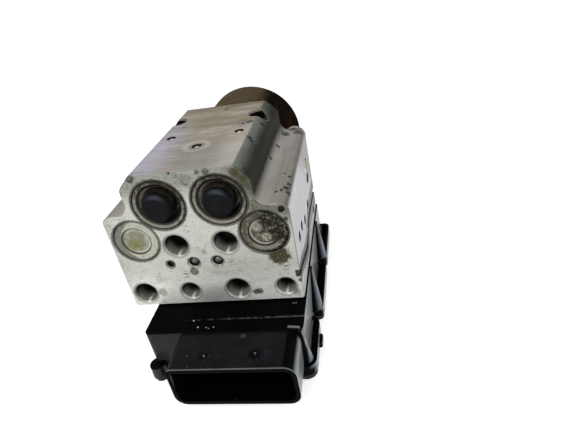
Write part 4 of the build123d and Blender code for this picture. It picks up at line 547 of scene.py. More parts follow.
def block_finish():
    """Extruded and face-milled aluminium: bright port face, brushed brown crown, oil stains; painted light
    and painted shade on the port face, slopes, sides and bores, painted highlights on edges.
    """
    t = Tree("machined_block")
    front = t.ny.step(-0.6, -0.9)
    top = t.nz.step(0.93, 0.985) * t.z.step(94.0, 96.0)
    side = t.nx.abs().step(0.8, 0.97) * t.z.step(79.0, 76.0)
    back = t.ny.step(0.6, 0.9)
    blotch = t.noise(14.0, 4.0, 0.6)
    fine = t.noise(1.1, 4.0, 0.65)
    skin, drawn = slope_colour(t, blotch, fine)
    crown, brush = crown_colour(t, blotch, fine)
    base = skin.under(
        (crown, top), (side_colour(t, blotch, fine), side), (front_colour(t, blotch, fine), front),
        (t.colour(BACK_GREY, (CROWN_DARK, blotch.step(0.4, 0.8) * 0.5)), back))
    ragged = t.noise(2.2, 4.0, 0.65)
    for x, z, radius, strength, tint in FRONT_STAINS:
        mask = t.spot(x, FRONT_Y_MM, z, radius, radius * 0.25, ragged, radius * 1.7)
        base = base.mix(tint, (mask * (fine.step(0.2, 0.6) * 0.7 + 0.3) * strength).clamp())
    streaked = t.noise(0.9, 4.0, 0.7, t.at(y=0.6, turn=(0.0, 0.0, 0.6)))
    for x, y, z, radius in CHIPS_MM:
        base = base.mix(DARK_OIL_AND_SHADE, t.spot(x, y, z, radius * 1.1, radius * 0.2, streaked, radius * 3.6) * 0.92)
    pitted = specks(t, 3.4, 0.14, 12.0) * smudges(t, 12.0, 0.46, 0.58, 5.0) * (1.0 - front) * (1.0 - side)
    swirl = post_at(t, *TOP_PLUGS_MM[0][:2])
    base = base.under(
        (DARK_OIL_AND_SHADE, pitted * 0.8),
        (CROWN_PALE, (swirl - 5.6).abs().step(2.2, 0.4) * top * 0.35),
        (CROWN_DARK, (swirl - 3.6).abs().step(0.9, 0.1) * top * 0.3))
    groove = groove_mask(t)
    oily = (fine + t.y.step(42.0, 34.0) * 0.25).step(0.45, 0.65)
    # painted glint in the groove
    glint = pin_at(t, *GROOVE_PAINTED_GLINT_MM) + (fine - 0.5) * 2.0
    inside, wall = port_walls(t)
    inside = inside * t.y.step(0.3, 1.0)
    base = seat_rings_and_hole_shade(t, base, front, fine).under(
        (t.colour(OIL_BROWN, (DARK_OIL_AND_SHADE, oily)), groove * 0.95),
        (PAINTED_HIGHLIGHT, glint.step(2.4, 1.2) * t.x.step(42.0, 42.4) * 0.8),
        (wall, inside),
        # painted highlight on the block's edges
        (PAINTED_HIGHLIGHT, t.edges(0.4) * (1.0 - groove) * (1.0 - inside) * fine.step(0.2, 0.6) * 0.6))
    grime = smudges(t, 6.0, 0.6, 0.8, 3.0)
    rough = 0.32 + blotch * 0.14 + grime * 0.2 + top * 0.1
    shaded = t.x.abs().span(24.0, 31.0, 2.0) * t.z.step(80.0, 84.0) * (1.0 - front)
    metal = (0.5 - grime * 0.2) * (1.0 - shaded) * (1.0 - front * 0.4)
    mill = t.noise(0.7, 2.0, 0.5, t.at(x=0.12))
    height = mill * front * 0.3 + brush * top * 0.6 + drawn * (1.0 - front) * (1.0 - top) * 0.3 + fine * 0.3
    return t.finish(base, rough + shaded * 0.3, (metal * (1.0 - inside)).clamp(), height, 0.04, bevel=0.35,
                    Specular_IOR_Level=0.05)


def simple_metal(name, light, dark, rough=0.35, metal=0.9, size=5.0, scratch=0.03, dirt=0.3, bevel=0.2):
    """Turned or pressed metal: two tones, drawn scratches, dirt patches and a painted highlight on edges."""
    t = Tree(name)
    patches = t.noise(size, 4.0, 0.6)
    lines = t.noise(0.5, 3.0, 0.6, t.at(y=scratch))
    base = t.colour(
        light, (dark, patches.step(0.35, 0.72)),
        (DARK_OIL_AND_SHADE, smudges(t, size * 0.5, 0.58, 0.75, 2.0) * dirt),
        (PAINTED_HIGHLIGHT, t.edges(bevel * 1.5) * 0.4))
    return t.finish(base, rough + patches * 0.15, metal, lines + patches, 0.03, bevel=bevel)


def thread_finish():
    """Threads: the ports' walls with the block's painted light and painted shade, painted shade on the
    bracket holes' walls.
    """
    t = Tree("thread_metal")
    inside, wall = port_walls(t)
    base = t.colour(PAINTED_DARK_SHADE, (PAINTED_BORE_SHADE, t.z.step(93.0, 88.0)), (wall, inside))
    return t.finish(base, 0.35 + t.noise(3.0) * 0.1, 0.1, Specular_IOR_Level=0.05)


def plastic(name, base_rgb, worn_rgb, rough, grain=0.25):
    """Moulded plastic: fine spark-eroded grain, dust specks, scuffed edges."""
    t = Tree(name)
    patches = t.noise(9.0, 4.0, 0.6)
    fine = t.noise(grain, 2.0, 0.5)
    base = t.colour(
        base_rgb, (worn_rgb, patches.step(0.5, 0.8) * 0.2),
        (DUST_AND_GLINT, specks(t, 2.6, 0.11, 4.0) * smudges(t, 16.0, 0.5, 0.66, 6.0) * 0.5),
        (worn_rgb, t.edges(0.5) * 0.4))
    return t.finish(base, rough + patches * 0.18, 0.0, fine * 0.6 + patches * 0.2, 0.03, bevel=0.35,
                    Specular_IOR_Level=0.25)


def shroud_wear_and_highlights(t, base, shroud, patches, fine):
    """Scratches round the pits, fine specks and dust chips on the shroud and the deck; painted shade in the
    pits with a painted glint, painted highlights along the deck's step and on the front right ledge.
    """
    zone = t.x * 0.0
    for x, y in PITS_MM:
        away = post_at(t, x, y)
        zone = zone + post_at(t, x + 2.5, y + 0.5).step(9.0, 3.0)
        # painted shade in each pit and a painted glint beside it
        base = base.under(
            (PLASTIC_BLACK, (away + (fine - 0.5) * 1.5 + (patches - 0.5) * 2.0).step(3.0, 2.3) * shroud),
            (DUST_AND_GLINT, post_at(t, x + 0.3, y + 0.4).step(0.5, 0.25) * shroud * 0.7))
    lines = squiggles(t, 7.0, 0.005, 3.0) + squiggles(t, 3.0, 0.012, 6.0) * smudges(t, 3.0, 0.52, 0.62, 2.0)
    base = base.under(
        (PLASTIC_WEAR_AND_EDGE_LIGHT, (lines * zone.clamp() * shroud * 0.8).clamp()),
        (PLASTIC_WEAR_AND_EDGE_LIGHT, specks(t, 1.1, 0.2, 3.0) * smudges(t, 6.0, 0.5, 0.62, 5.0) * shroud * 0.8),
        (DUST_AND_GLINT, specks(t, 3.2, 0.09, 4.0) * smudges(t, 12.0, 0.55, 0.66, 6.0) * 0.7))
    for x, y, radius in DUST_CHIPS_MM:
        base = base.mix(DUST_AND_GLINT, t.spot(x, y, HOUSING_TOP_MM, radius, radius * 0.3, fine, radius))
    # painted highlight, dashed, along the deck's step
    step_line = (t.y - HOUSING_STEP_Y_MM).abs().step(0.28, 0.1) * t.x.step(-10.5, -9.5) * t.z.step(24.0, 24.4)
    dashes = t.noise(1.6, 3.0, 0.7, t.at(x=0.5, shift=(3.0, 0.0, 0.0)))
    base = base.under(
        (PLASTIC_PAINTED_SHEEN, step_line * (dashes + t.x * 0.004).step(0.44, 0.66) * 0.4),
        (PLASTIC_WEAR_AND_EDGE_LIGHT, t.spot(16.9, -22.2, HOUSING_TOP_MM, 1.0, 1.0) * 0.8))
    # painted highlight on the front right ledge
    ledge = t.x.span(37.0, 42.3, 0.3) * (t.y + (t.x - 40.0) * 0.1 + 18.2).abs().step(0.9, 0.4)
    ledge = ledge * t.z.step(22.0, 22.4) * t.nz.step(0.6, 0.8)
    return base.mix(PLASTIC_PAINTED_SHEEN, ledge * (0.4 + patches * 0.9).clamp())


def housing_finish():
    """Black deck, bluish shroud with scratches round its pits, walls greyer from painted sheen, painted sheen
    on the bosses, a painted dark band on the rounded right edge, a painted highlight on the mouth's edge and
    on the edges.
    """
    t = Tree("housing_plastic")
    patches = t.noise(8.0, 4.0, 0.6)
    fine = t.noise(0.25, 2.0, 0.5)
    up = t.nz.step(0.8, 0.95)
    in_front = t.y.step(SHROUD_BACK_Y_MM, SHROUD_BACK_Y_MM - 3.0)
    shroud = up * in_front * t.z.step(24.0, 25.0)
    front_wall = t.ny.step(-0.7, -0.95) * t.x.step(-10.8, -11.4) * t.y.step(-32.0, -30.0)
    flank = t.nx.step(0.7, 0.97)
    mouth = t.ny.step(-0.7, -0.95) * t.y.step(MOUTH_Y_MM + 3.0, MOUTH_Y_MM + 2.0)
    # painted dark band on the shroud's rounded right edge
    band = t.nx.span(0.1, 0.6, 0.1) * t.nz.step(0.2, 0.5) * in_front
    plain = (1.0 - mouth) * (1.0 - band)
    boss = t.nx.step(0.35, 0.8) * t.x.step(WALL_X_MM + 0.1, WALL_X_MM + 0.9) * t.z.step(6.6, 8.0)
    wall = t.x.span(WALL_X_MM - 0.2, WALL_X_MM + 0.2, 0.15) * t.y.span(-21.0, 30.0, 8.0) * t.z.step(2.0, 7.0)
    base = t.colour(
        PLASTIC_BLACK, (PLASTIC_TOP, (shroud * (0.3 + patches)).clamp()),
        # painted sheen: front-left wall, right flank, bosses and the right wall's strip
        (FRONT_WALL_PAINTED_SHEEN, front_wall * (t.z.step(26.0, 8.0) * 0.5 + 0.45)),
        (PLASTIC_PAINTED_SHEEN, flank * t.x.step(30.0, 36.0) * (patches.step(0.3, 0.6) * 0.3 + 0.65)),
        (BOSS_PAINTED_SHEEN, boss * (patches * 0.8 + 0.2)),
        (WALL_DUST_AND_SHEEN, flank * wall * (patches + 0.25).clamp()))
    base = shroud_wear_and_highlights(t, base, shroud, patches, fine)
    rim = t.edges(0.35) * (1.0 - mouth)
    lip = t.y.step(MOUTH_Y_MM + 0.9, MOUTH_Y_MM + 0.5) * t.z.step(14.0, 20.0)
    lip = lip * (t.nz.step(0.3, 0.6) + flank).clamp() * (1.0 - mouth)
    # painted highlight on edges, stronger on the right; painted glints on the mouth's bottom edge; painted
    # highlight on the mouth's lip
    base = base.under(
        (PLASTIC_WEAR_AND_EDGE_LIGHT, (rim * (0.1 + flank * 0.6 + t.x.step(43.0, 45.0) * 0.5)).clamp()),
        (DUST_AND_GLINT, rim * t.y.step(-39.5, -40.6) * t.z.step(1.4, 0.6) * smudges(t, 3.0, 0.5, 0.58, 1.0) * 0.9),
        (PLASTIC_BLACK, (mouth + band).clamp()),
        (PLASTIC_PAINTED_SHEEN, lip * (0.35 + patches * 0.8).clamp()))
    rough = 0.3 + patches * 0.16 + up * t.y.step(-20.0, -18.0) * 0.15
    coat = (shroud * 0.12 + front_wall * 0.2 + flank * 0.7 + rim * 0.15).clamp() * plain
    return t.finish(base, rough, 0.0, fine * 0.6 + patches * 0.25, 0.03, bevel=0.4, Coat_Weight=coat,
                    Specular_IOR_Level=0.02, Coat_Roughness=0.25)


def rubber_finish():
    """Matt moulded rubber: bluish black with a painted highlight, a soft lighter arc on the caps' upper
    rounding.
    """
    t = Tree("matt_rubber")
    bloom = t.noise(4.0, 4.0, 0.6)
    arc = t.x * 0.0
    # painted highlight: an arc on each cap's upper rounding
    for x, z in ACCUMULATORS_MM:
        away = disc_at(t, x, z)
        upper = (t.x - x - 1.0).abs().step(5.0, 0.5) * (t.z - z).step(2.0, 4.6)
        arc = arc + (away - 5.9).abs().step(1.5, 0.1) * upper
    arc = arc * t.y.step(-1.6, -2.4)
    skirt = t.y.step(-0.6, 0.6) * t.y.step(6.0, 5.0) * t.x.abs().step(3.0, 5.0)
    base = t.colour(
        RUBBER, (RUBBER_PAINTED_SHEEN, (arc * 0.75 + bloom.step(0.4, 0.75) * 0.08).clamp()),
        (CUP_RIM_DARK, skirt * bloom.step(0.3, 0.6) * (t.z - ACCUMULATORS_MM[0][1]).step(0.0, 4.0) * 0.9),
        (DUST_AND_GLINT, specks(t, 1.6, 0.1, 1.0) * 0.2))
    return t.finish(base, 0.5 + bloom * 0.2, 0.0, t.noise(0.5, 3.0, 0.6), 0.04, bevel=0.4,
                    Specular_IOR_Level=0.08)


def cup_finish():
    """Pressed cover: dull speckled ring, darker towards its upper right; cup beige at its upper left, in
    painted shade black at its lower right and beside the caps, with painted glints and a painted highlight on
    edges.
    """
    t = Tree("stained_cover")
    away = disc_at(t, *ACCUMULATORS_MM[0]).low(disc_at(t, *ACCUMULATORS_MM[1]))
    patches = t.noise(3.0, 4.0, 0.65)
    fine = t.noise(0.6, 3.0, 0.7)
    centre = t.x.step(-0.1, 0.1) * (2.0 * ACCUMULATORS_MM[1][0]) - ACCUMULATORS_MM[1][0]
    across = t.x - centre
    rise = t.z - ACCUMULATORS_MM[0][1]
    grime = patches * 0.5 + fine * 0.6 + rise * 0.012 + across * 0.006
    # painted shade: black at the lower right of each cup
    shade = (across * 0.03 - rise * 0.13 + (patches - 0.5) * 0.5).step(0.45, 0.75)
    bowl = t.colour(
        CUP_BEIGE, (CUP_RIM_DARK, (fine * 0.7 + patches * 0.4).step(0.5, 0.68) * 0.7), (CUP_PAINTED_SHADE, shade))
    base = t.colour(
        CUP_RIM, (CUP_RIM_DARK, grime.step(0.46, 0.7)), (bowl, away.step(9.6, 9.1)),
        # painted glints: pale specks in the cup's shaded part
        (DUST_AND_GLINT, specks(t, 1.8, 0.2, 2.0) * shade * away.span(7.4, 9.0, 0.4) * smudges(t, 4.0, 0.5, 0.6) * 0.8),
        (DARK_OIL_AND_SHADE, away.span(9.3, 10.1, 0.3) * 0.95),
        # painted shade beside the caps
        (DARK_OIL_AND_SHADE, (away + shade * 0.9 - 0.5).step(8.0, 7.5) * 0.9),
        (DARK_OIL_AND_SHADE, (away + (fine - 0.5) * 1.4 + (patches - 0.5)).step(11.2, 12.0) * 0.92),
        # painted highlight on the edges
        (PAINTED_HIGHLIGHT, t.edges(0.3) * away.step(9.8, 10.4) * fine.step(0.5, 0.6) * 0.3))
    return t.finish(base, 0.45 + patches * 0.25, 0.1, fine + patches, 0.1, bevel=0.2, Specular_IOR_Level=0.12)


def damper_finish():
    """Turned damper plugs: the left clean with a yellow stain and a dark outline thicker towards its left,
    the right oiled and corroded; a painted highlight on the inner step's lower side.
    """
    t = Tree("stained_plug")
    away = disc_at(t, *DAMPERS_MM[0]).low(disc_at(t, *DAMPERS_MM[1]))
    patches = t.noise(2.4, 4.0, 0.65)
    fine = t.noise(0.6, 3.0, 0.7)
    slant = (t.x.abs() - DAMPERS_MM[1][0]) * 0.05
    yellow = t.spot(-31.6, FRONT_Y_MM, 63.0, 3.4, 1.6, patches, 6.0)
    clean = t.colour(
        PLUG_LIGHT, (PLUG_SHADE, (patches * 0.8 + away.step(8.0, 3.0) * 0.3).step(0.36, 0.72)),
        (PLUG_OLIVE, yellow * fine.step(0.3, 0.6) * 0.85),
        (DARK_OIL_AND_SHADE, (away + slant * 8.0 + (fine - 0.5)).step(9.6, 10.4) * t.x.step(-29.0, -34.0) * 0.6))
    white = t.spot(27.6, FRONT_Y_MM, 68.0, 2.6, 0.6, fine, 5.0)
    white = white + t.spot(31.0, FRONT_Y_MM, 62.6, 2.6, 0.8, fine, 5.0)
    foul = t.colour(
        PLUG_GRIME, (PLUG_GRIME_DARK, (patches * 0.6 + fine * 0.6 + slant).step(0.42, 0.62)),
        (PLUG_CORRODED, white.clamp() * away.step(6.2, 5.6) * fine.step(0.35, 0.6) * 0.9),
        (PLUG_CORRODED, t.noise(1.6, 4.0, 0.75, t.at(shift=(4.0, 0.0, 0.0))).step(0.48, 0.68) * 0.5),
        (PLUG_GRIME_DARK, t.noise(1.2, 4.0, 0.75, t.at(shift=(0.0, 0.0, 7.0))).step(0.5, 0.66) * 0.55),
        (CUP_RIM, away.span(7.3, 9.0, 0.6) * (t.z - 66.0).step(-4.0, -8.0) * patches.step(0.3, 0.5) * 0.8))
    base = clean.under(
        (foul, t.x.step(-1.0, 1.0)),
        (DARK_OIL_AND_SHADE, away.span(6.8, 7.2, 0.3) * 0.85),
        # painted highlight on the lower side of the inner step, towards the block's middle
        (PAINTED_HIGHLIGHT, away.span(6.1, 6.5, 0.3) * (t.x.abs() + t.z * 0.4).step(60.0, 54.0) * 0.6),
        (DARK_OIL_AND_SHADE, (away + (fine - 0.5) * 0.9).step(10.3, 10.9) * 0.9))
    return t.finish(base, 0.45 + patches * 0.25, 0.15, fine + patches, 0.1, bevel=0.15,
                    Specular_IOR_Level=0.12)


def motor_finish():
    """Plated motor can: gold-brown passivation at the left, painted shade near black at the right, a painted
    highlight at the far left and on edges, rust and paint chips.
    """
    t = Tree("plated_can")
    patches = t.noise(7.0, 5.0, 0.6)
    drawn = t.noise(0.6, 3.0, 0.6, t.at(y=0.05))
    across = t.x + (patches - 0.5) * 8.0
    # painted shade towards the right, darkest high up
    shade = across.step(10.0, 19.0) * (t.z.step(36.0, 66.0) * 0.6 + 0.4)
    chips = specks(t, 2.6, 0.12, 2.0) * smudges(t, 8.0, 0.52, 0.64, 3.0)
    base = t.colour(
        CAN_GOLD, (CAN_BROWN, across.step(-22.0, 2.0)), (CAN_PAINTED_SHADE, shade),
        # painted highlight at the far left and on the edges
        (CAN_PAINTED_HIGHLIGHT, t.x.step(-18.0, -30.0) * 0.6),
        (CAN_RUST, (patches * 0.5 + drawn * 0.6).step(0.5, 0.75) * 0.5),
        (CAN_RUST, smudges(t, 5.0, 0.55, 0.7, 4.0) * t.x.step(16.0, 8.0) * 0.45),
        (DUST_AND_GLINT, chips * 0.6),
        (CAN_PAINTED_HIGHLIGHT, t.edges(0.7) * t.x.step(20.0, 10.0) * 0.35))
    return t.finish(base, 0.42 + patches * 0.2, 0.0, drawn * 0.6 + patches, 0.06, bevel=0.4,
                    Coat_Weight=t.x.step(16.0, 0.0) * 0.06, Specular_IOR_Level=0.0, Coat_Roughness=0.3)


# ---------------------------------------------------------------- surfaces
def closed_grid(name, points):
    """Mesh of a grid of points (along, across, 3) in metres, closed on itself in both directions."""
    rows, columns = points.shape[:2]
    a, b = np.meshgrid(np.arange(rows), np.arange(columns), indexing="ij")
    after_a = (a + 1) % rows
    after_b = (b + 1) % columns
    quads = np.stack([a * columns + b, a * columns + after_b, after_a * columns + after_b,
                      after_a * columns + b], axis=-1).reshape(-1, 4)
    mesh = bpy.data.meshes.new(name)
    mesh.from_pydata(points.reshape(-1, 3).tolist(), [], quads.tolist())
    return mesh


def joined(name, meshes):
    """One object out of several meshes, its normals made to point outwards."""
    form = bmesh.new()
    for mesh in meshes:
        form.from_mesh(mesh)
        bpy.data.meshes.remove(mesh)
    bmesh.ops.recalc_face_normals(form, faces=form.faces)
    whole = bpy.data.meshes.new(name)
    form.to_mesh(whole)
    form.free()
    whole.polygons.foreach_set("use_smooth", np.full(len(whole.polygons), True))
    piece = bpy.data.objects.new(name, whole)
    bpy.context.scene.collection.objects.link(piece)
    return piece


def thread_liner(centre, axis, core, pitch, length, start):
    """Threaded lining of a hole.

    At angle a and depth d the inner wall's radius is the core radius less the ridge height times a
    triangle wave of d / pitch - a / 2 pi, faded out at both ends; the outer wall is the plain core radius.
    """
    turns, steps = THREAD_STEPS_ROUND, int(length / pitch * THREAD_STEPS_PER_PITCH)
    angle = np.linspace(0, 2 * pi, turns, endpoint=False)[None, :]
    depth = np.linspace(0, length, steps)[:, None]
    phase = (depth / pitch - angle / (2 * pi)) % 1.0
    ridge = 1.0 - np.abs(2.0 * phase - 1.0)
    fade = np.clip(np.minimum(depth, length - depth) / (pitch * 0.8), 0.0, 1.0)
    inner = core - 0.02 - THREAD_RIDGE_MM * ridge * fade
    outer = np.full_like(inner[::-1], core - 0.005)
    radius = np.concatenate([inner, outer[:: steps - 1]])
    along = np.concatenate([depth, depth[::-1][:: steps - 1]]) + start
    across, up, out = axis
    points = (np.array(centre) + radius[..., None] * (np.cos(angle)[..., None] * np.array(across)
              + np.sin(angle)[..., None] * np.array(up)) + along[..., None] * np.array(out))
    return closed_grid("thread", points * MM)


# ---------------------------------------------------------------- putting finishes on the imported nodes
def paint(material, *names):
    """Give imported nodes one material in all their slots."""
    for name in names:
        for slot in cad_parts[name].material_slots:
            slot.material = material


def both(name):
    """The left and the right node of a pair."""
    return [f"left_{name}", f"right_{name}"]


# ---------------------------------------------------------------- user settings
class StageSettings(bpy.types.PropertyGroup):
    """Lights and floor."""

    key_power: bpy.props.FloatProperty(name="Key power", description="Power of the large soft lamp",
                                       default=3.6, min=0.0, unit="POWER")
    fill_power: bpy.props.FloatProperty(name="Fill power", description="Power of the lamp at the right",
                                        default=1.4, min=0.0, unit="POWER")
    ambient: bpy.props.FloatProperty(name="Ambient", description="Strength of the light from all round",
                                     default=0.5, min=0.0)
    floor_colour: bpy.props.FloatVectorProperty(name="Floor colour", description="Colour of the pale floor",
                                                default=(0.86, 0.86, 0.85), subtype="COLOR")


class TrimSettings(bpy.types.PropertyGroup):
    """Small added trim."""

    thread_pitch: bpy.props.FloatProperty(name="Thread pitch", description="Pitch of the port threads",
                                          default=1.0 * MM, unit="LENGTH")


class BRAKE_OT_block(bpy.types.Operator):
    """Finish the valve block."""
    bl_idname = "brake.block"
    bl_label = "Valve block"

    def execute(self, context):
        paint(block_finish(), "valve_block")
        return {"FINISHED"}


class BRAKE_OT_port_face(bpy.types.Operator):
    """Finish the accumulator covers, damper plugs, caps and ball plugs."""
    bl_idname = "brake.port_face"
    bl_label = "Port face pieces"

    def execute(self, context):
        paint(cup_finish(), *both("accumulator_cover"))
        paint(damper_finish(), *both("damper_plug"))
        paint(rubber_finish(), *both("accumulator_cap"), *both("accumulator_seal"), *both("damper_element"),
              "ecu_gasket")
        paint(simple_metal("ball_steel", STEEL_LIGHT, STEEL_DARK, 0.28, 0.9, 2.0, 1.0, 0.4),
              "top_ball_plugs", "pump_outlet_balls")
        # painted shade: the same steel balls, darker on the front and the sides
        paint(simple_metal("shaded_ball_steel", SHADED_BALL_LIGHT, SHADED_BALL_DARK, 0.2, 0.6, 1.2, 1.0, 0.6),
              "front_ball_plugs", "side_ball_plugs")
        return {"FINISHED"}


class BRAKE_OT_motor(bpy.types.Operator):
    """Finish the motor, its plate and screws, and what is inside it."""
    bl_idname = "brake.motor"
    bl_label = "Motor"

    def execute(self, context):
        paint(motor_finish(), "motor_can")
        plate = simple_metal("plated_steel", srgb(150, 146, 130), srgb(92, 86, 70), 0.42, 0.7, 4.0, 1.0, 0.6)
        paint(plate, "motor_end_plate", "motor_screws", "ecu_screws")
        paint(simple_metal("ground_steel", STEEL_LIGHT, STEEL_DARK, 0.25, 0.95), "motor_shaft",
              "tail_bearing", "bearing_outer_ring", "bearing_inner_ring", "eccentric_ring")
        paint(simple_metal("sintered_bronze", srgb(176, 130, 76), srgb(122, 84, 46), 0.5, 0.8), "rear_bush")
        paint(simple_metal("ferrite", srgb(70, 70, 72), srgb(44, 44, 46), 0.6, 0.2), "motor_magnets")
        paint(simple_metal("laminations", srgb(110, 112, 116), srgb(72, 74, 78), 0.4, 0.7, 3.0, 8.0),
              "armature_core")
        paint(simple_metal("copper", srgb(196, 118, 76), srgb(142, 78, 48), 0.35, 0.9), "armature_windings",
              "commutator", "motor_terminals")
        paint(plastic("holder_plastic", srgb(170, 156, 124), srgb(196, 184, 156), 0.5), "brush_holder")
        paint(simple_metal("carbon", srgb(40, 40, 42), srgb(26, 26, 28), 0.6, 0.1), "carbon_brushes")
        return {"FINISHED"}


class BRAKE_OT_hydraulics(bpy.types.Operator):
    """Finish the pump, the accumulators' inner pieces and the solenoid valves."""
    bl_idname = "brake.hydraulics"
    bl_label = "Hydraulics"

    def execute(self, context):
        aluminium = simple_metal("plug_aluminium", srgb(196, 194, 184), srgb(140, 136, 124), 0.35, 0.8, 3.0,
                                 1.0, 0.5)
        paint(aluminium, *both("pump_plug"))
        paint(simple_metal("pump_steel", STEEL_LIGHT, STEEL_DARK, 0.22, 0.95), *both("pump_sleeve"),
              *both("pump_piston"))
        paint(simple_metal("spring_wire", srgb(130, 132, 136), srgb(86, 88, 92), 0.3, 0.9),
              *both("pump_spring"), *both("accumulator_spring"))
        paint(simple_metal("anodised_piston", srgb(186, 186, 180), srgb(150, 150, 142), 0.4, 0.7),
              *both("accumulator_piston"))
        valves = [f"{kind}_valve_{i}" for kind in ("inlet", "outlet") for i in range(1, 5)]
        paint(simple_metal("valve_steel", srgb(186, 184, 178), srgb(128, 126, 118), 0.3, 0.9), *valves)
        paint(plastic("coil_plastic", srgb(30, 30, 34), srgb(60, 60, 64), 0.45), "inlet_valve_coils",
              "outlet_valve_coils")
        return {"FINISHED"}


class BRAKE_OT_control_unit(bpy.types.Operator):
    """Finish the control unit's housing, cover, board and pins."""
    bl_idname = "brake.control_unit"
    bl_label = "Control unit"

    def execute(self, context):
        paint(housing_finish(), "ecu_housing")
        paint(plastic("cover_plastic", srgb(18, 18, 20), PLASTIC_WEAR_AND_EDGE_LIGHT, 0.45, 0.6), "ecu_cover")
        paint(plastic("board_mask", srgb(24, 92, 48), srgb(60, 130, 80), 0.3), "circuit_board")
        pins = simple_metal("tinned_pins", srgb(206, 204, 196), srgb(160, 156, 146), 0.25, 0.9, 1.0, 1.0, 0.1,
                            0.05)
        paint(pins, "narrow_connector_pins", "wide_connector_pins")
        return {"FINISHED"}


class BRAKE_OT_threads(bpy.types.Operator):
    """Add the threads of the pipe ports and of the bracket holes."""
    bl_idname = "brake.threads"
    bl_label = "Threads"

    def execute(self, context):
        pitch = context.scene.brake_trim.thread_pitch / MM
        backwards = ((1, 0, 0), (0, 0, 1), (0, 1, 0))
        downwards = ((1, 0, 0), (0, 1, 0), (0, 0, -1))
        ports = [thread_liner((x, 0, z), backwards, core, pitch, *PORT_THREAD_MM) for x, z, core in PORTS_MM]
        holes = [thread_liner((x, y, BLOCK_TOP_MM), downwards, core, *BRACKET_THREAD_MM)
                 for x, y, core in BRACKET_HOLES_MM]
        piece = joined("port_threads", ports + holes)
        piece.data.materials.append(thread_finish())
        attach(piece, "root")
        return {"FINISHED"}


class BRAKE_OT_stage(bpy.types.Operator):
    """Make the floor, the lights, the white surroundings and the camera."""
    bl_idname = "brake.stage"
    bl_label = "Stage"

    def execute(self, context):
        settings = context.scene.brake_stage
        add_floor(tuple(settings.floor_colour))
        add_lamp("key_lamp", *KEY_LAMP, settings.key_power)
        add_lamp("fill_lamp", *FILL_LAMP, settings.fill_power)
        add_world(settings.ambient)
        add_camera()
        context.scene.view_settings.view_transform = "Standard"
        return {"FINISHED"}


# ---------------------------------------------------------------- stage
WHITE = (1.0, 1.0, 1.0)
FLOOR_REACH = 6.0     # metres from the middle to each side
FLOOR_GLOW = 0.62     # light the floor sends to the eye and to reflections
LAMP_AIM = (0.0, 0.04, 0.05)
KEY_LAMP = ((-0.42, -0.62, 0.72), 0.6)      # place, size
FILL_LAMP = ((0.62, -0.25, 0.35), 0.5)
CAMERA_PLACE = (0.07702, -0.16672, 0.17131)
CAMERA_RIGHT = (0.98157791, 0.10972194, -0.15641577)
CAMERA_UP = (0.07755904, 0.51935455, 0.85103199)
CAMERA_BACK = (0.17461212, -0.84748566, 0.50127703)
CAMERA_LENS = 28.663


def seen_directly(t):
    """1 for camera, glossy and transmission rays."""
    path = t.nodes.new("ShaderNodeLightPath")
    camera, glossy, through = (Value(t, path.outputs[f"Is {kind} Ray"])
                               for kind in ("Camera", "Glossy", "Transmission"))
    return (camera + glossy + through).clamp()


def add_floor(colour):
    """Pale floor: plain to the object's light, lifted to white where it is looked at."""
    side = FLOOR_REACH
    corners = [(-side, -side, 0), (side, -side, 0), (side, side, 0), (-side, side, 0)]
    mesh = bpy.data.meshes.new("floor")
    mesh.from_pydata(corners, [], [(0, 1, 2, 3)])
    floor = bpy.data.objects.new("floor", mesh)
    bpy.context.scene.collection.objects.link(floor)
    t = Tree("pale_floor")
    plain = t.node("ShaderNodeBsdfDiffuse", {}, {"Color": colour})
    glow = t.node("ShaderNodeEmission", {}, {"Color": WHITE, "Strength": FLOOR_GLOW})
    both_shaders = t.node("ShaderNodeAddShader", {}, {0: plain, 1: glow})
    mixed = t.node("ShaderNodeMixShader", {}, {0: seen_directly(t), 1: plain, 2: both_shaders})
    mesh.materials.append(t.show(mixed))


def add_lamp(name, place, size, power):
    """Square soft lamp aimed at the object's middle."""
    lamp = bpy.data.lights.new(name, "AREA")
    lamp.size = size
    lamp.energy = power
    holder = bpy.data.objects.new(name, lamp)
    bpy.context.scene.collection.objects.link(holder)
    aim = Vector(LAMP_AIM) - Vector(place)
    turn = aim.to_track_quat("-Z", "Y").to_matrix().to_4x4()
    holder.matrix_world = Matrix.Translation(place) @ turn


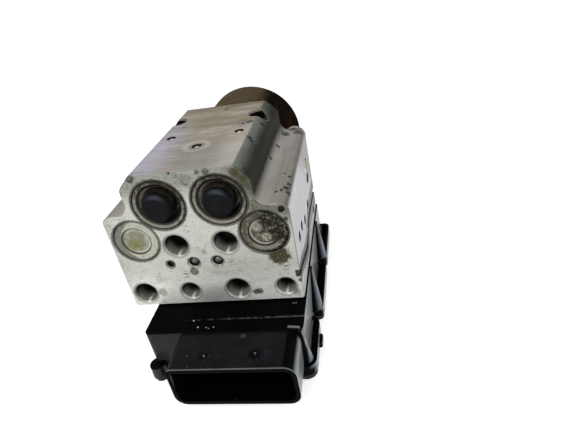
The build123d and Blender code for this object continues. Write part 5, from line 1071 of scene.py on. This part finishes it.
def add_world(strength):
    """White surroundings for the eye and for reflections, soft light for the rest."""
    t = Tree("soft_world", "worlds")
    level = seen_directly(t) * (1.0 - strength) + strength
    background = t.node("ShaderNodeBackground", {}, {"Color": WHITE, "Strength": level})
    bpy.context.scene.world = t.show(background, "World")


def add_camera():
    """Camera looking down on the port face from the front right."""
    lens = bpy.data.cameras.new("camera")
    lens.sensor_fit = "HORIZONTAL"
    lens.sensor_width = 36.0
    lens.lens = CAMERA_LENS
    lens.clip_start = 0.01
    holder = bpy.data.objects.new("camera", lens)
    bpy.context.scene.collection.objects.link(holder)
    columns = np.stack([CAMERA_RIGHT, CAMERA_UP, CAMERA_BACK, CAMERA_PLACE], axis=1)
    holder.matrix_world = Matrix(np.vstack([columns, (0, 0, 0, 1)]).tolist())
    bpy.context.scene.camera = holder


# ---------------------------------------------------------------- panel and registering
OPERATORS = (BRAKE_OT_block, BRAKE_OT_port_face, BRAKE_OT_motor, BRAKE_OT_hydraulics, BRAKE_OT_control_unit,
             BRAKE_OT_threads, BRAKE_OT_stage)


class BRAKE_PT_panel(bpy.types.Panel):
    """Buttons for every piece and for the stage."""
    bl_idname = "BRAKE_PT_panel"
    bl_label = "Brake module"
    bl_space_type = "VIEW_3D"
    bl_region_type = "UI"
    bl_category = "Brake module"

    def draw(self, context):
        for group in (context.scene.brake_stage, context.scene.brake_trim):
            for name in group.__annotations__:
                self.layout.prop(group, name)
        for operator in OPERATORS:
            self.layout.operator(operator.bl_idname)


CLASSES = (StageSettings, TrimSettings) + OPERATORS + (BRAKE_PT_panel,)


def register():
    """Make the classes and settings known."""
    for item in CLASSES:
        bpy.utils.register_class(item)
    bpy.types.Scene.brake_stage = bpy.props.PointerProperty(type=StageSettings)
    bpy.types.Scene.brake_trim = bpy.props.PointerProperty(type=TrimSettings)


def unregister():
    """Take the classes and settings away."""
    del bpy.types.Scene.brake_trim
    del bpy.types.Scene.brake_stage
    for item in reversed(CLASSES):
        bpy.utils.unregister_class(item)


def main():
    """Make every piece."""
    register()
    for operator in OPERATORS:
        group, action = operator.bl_idname.split(".")
        getattr(getattr(bpy.ops, group), action)()


if __name__ == "__main__":
    main()
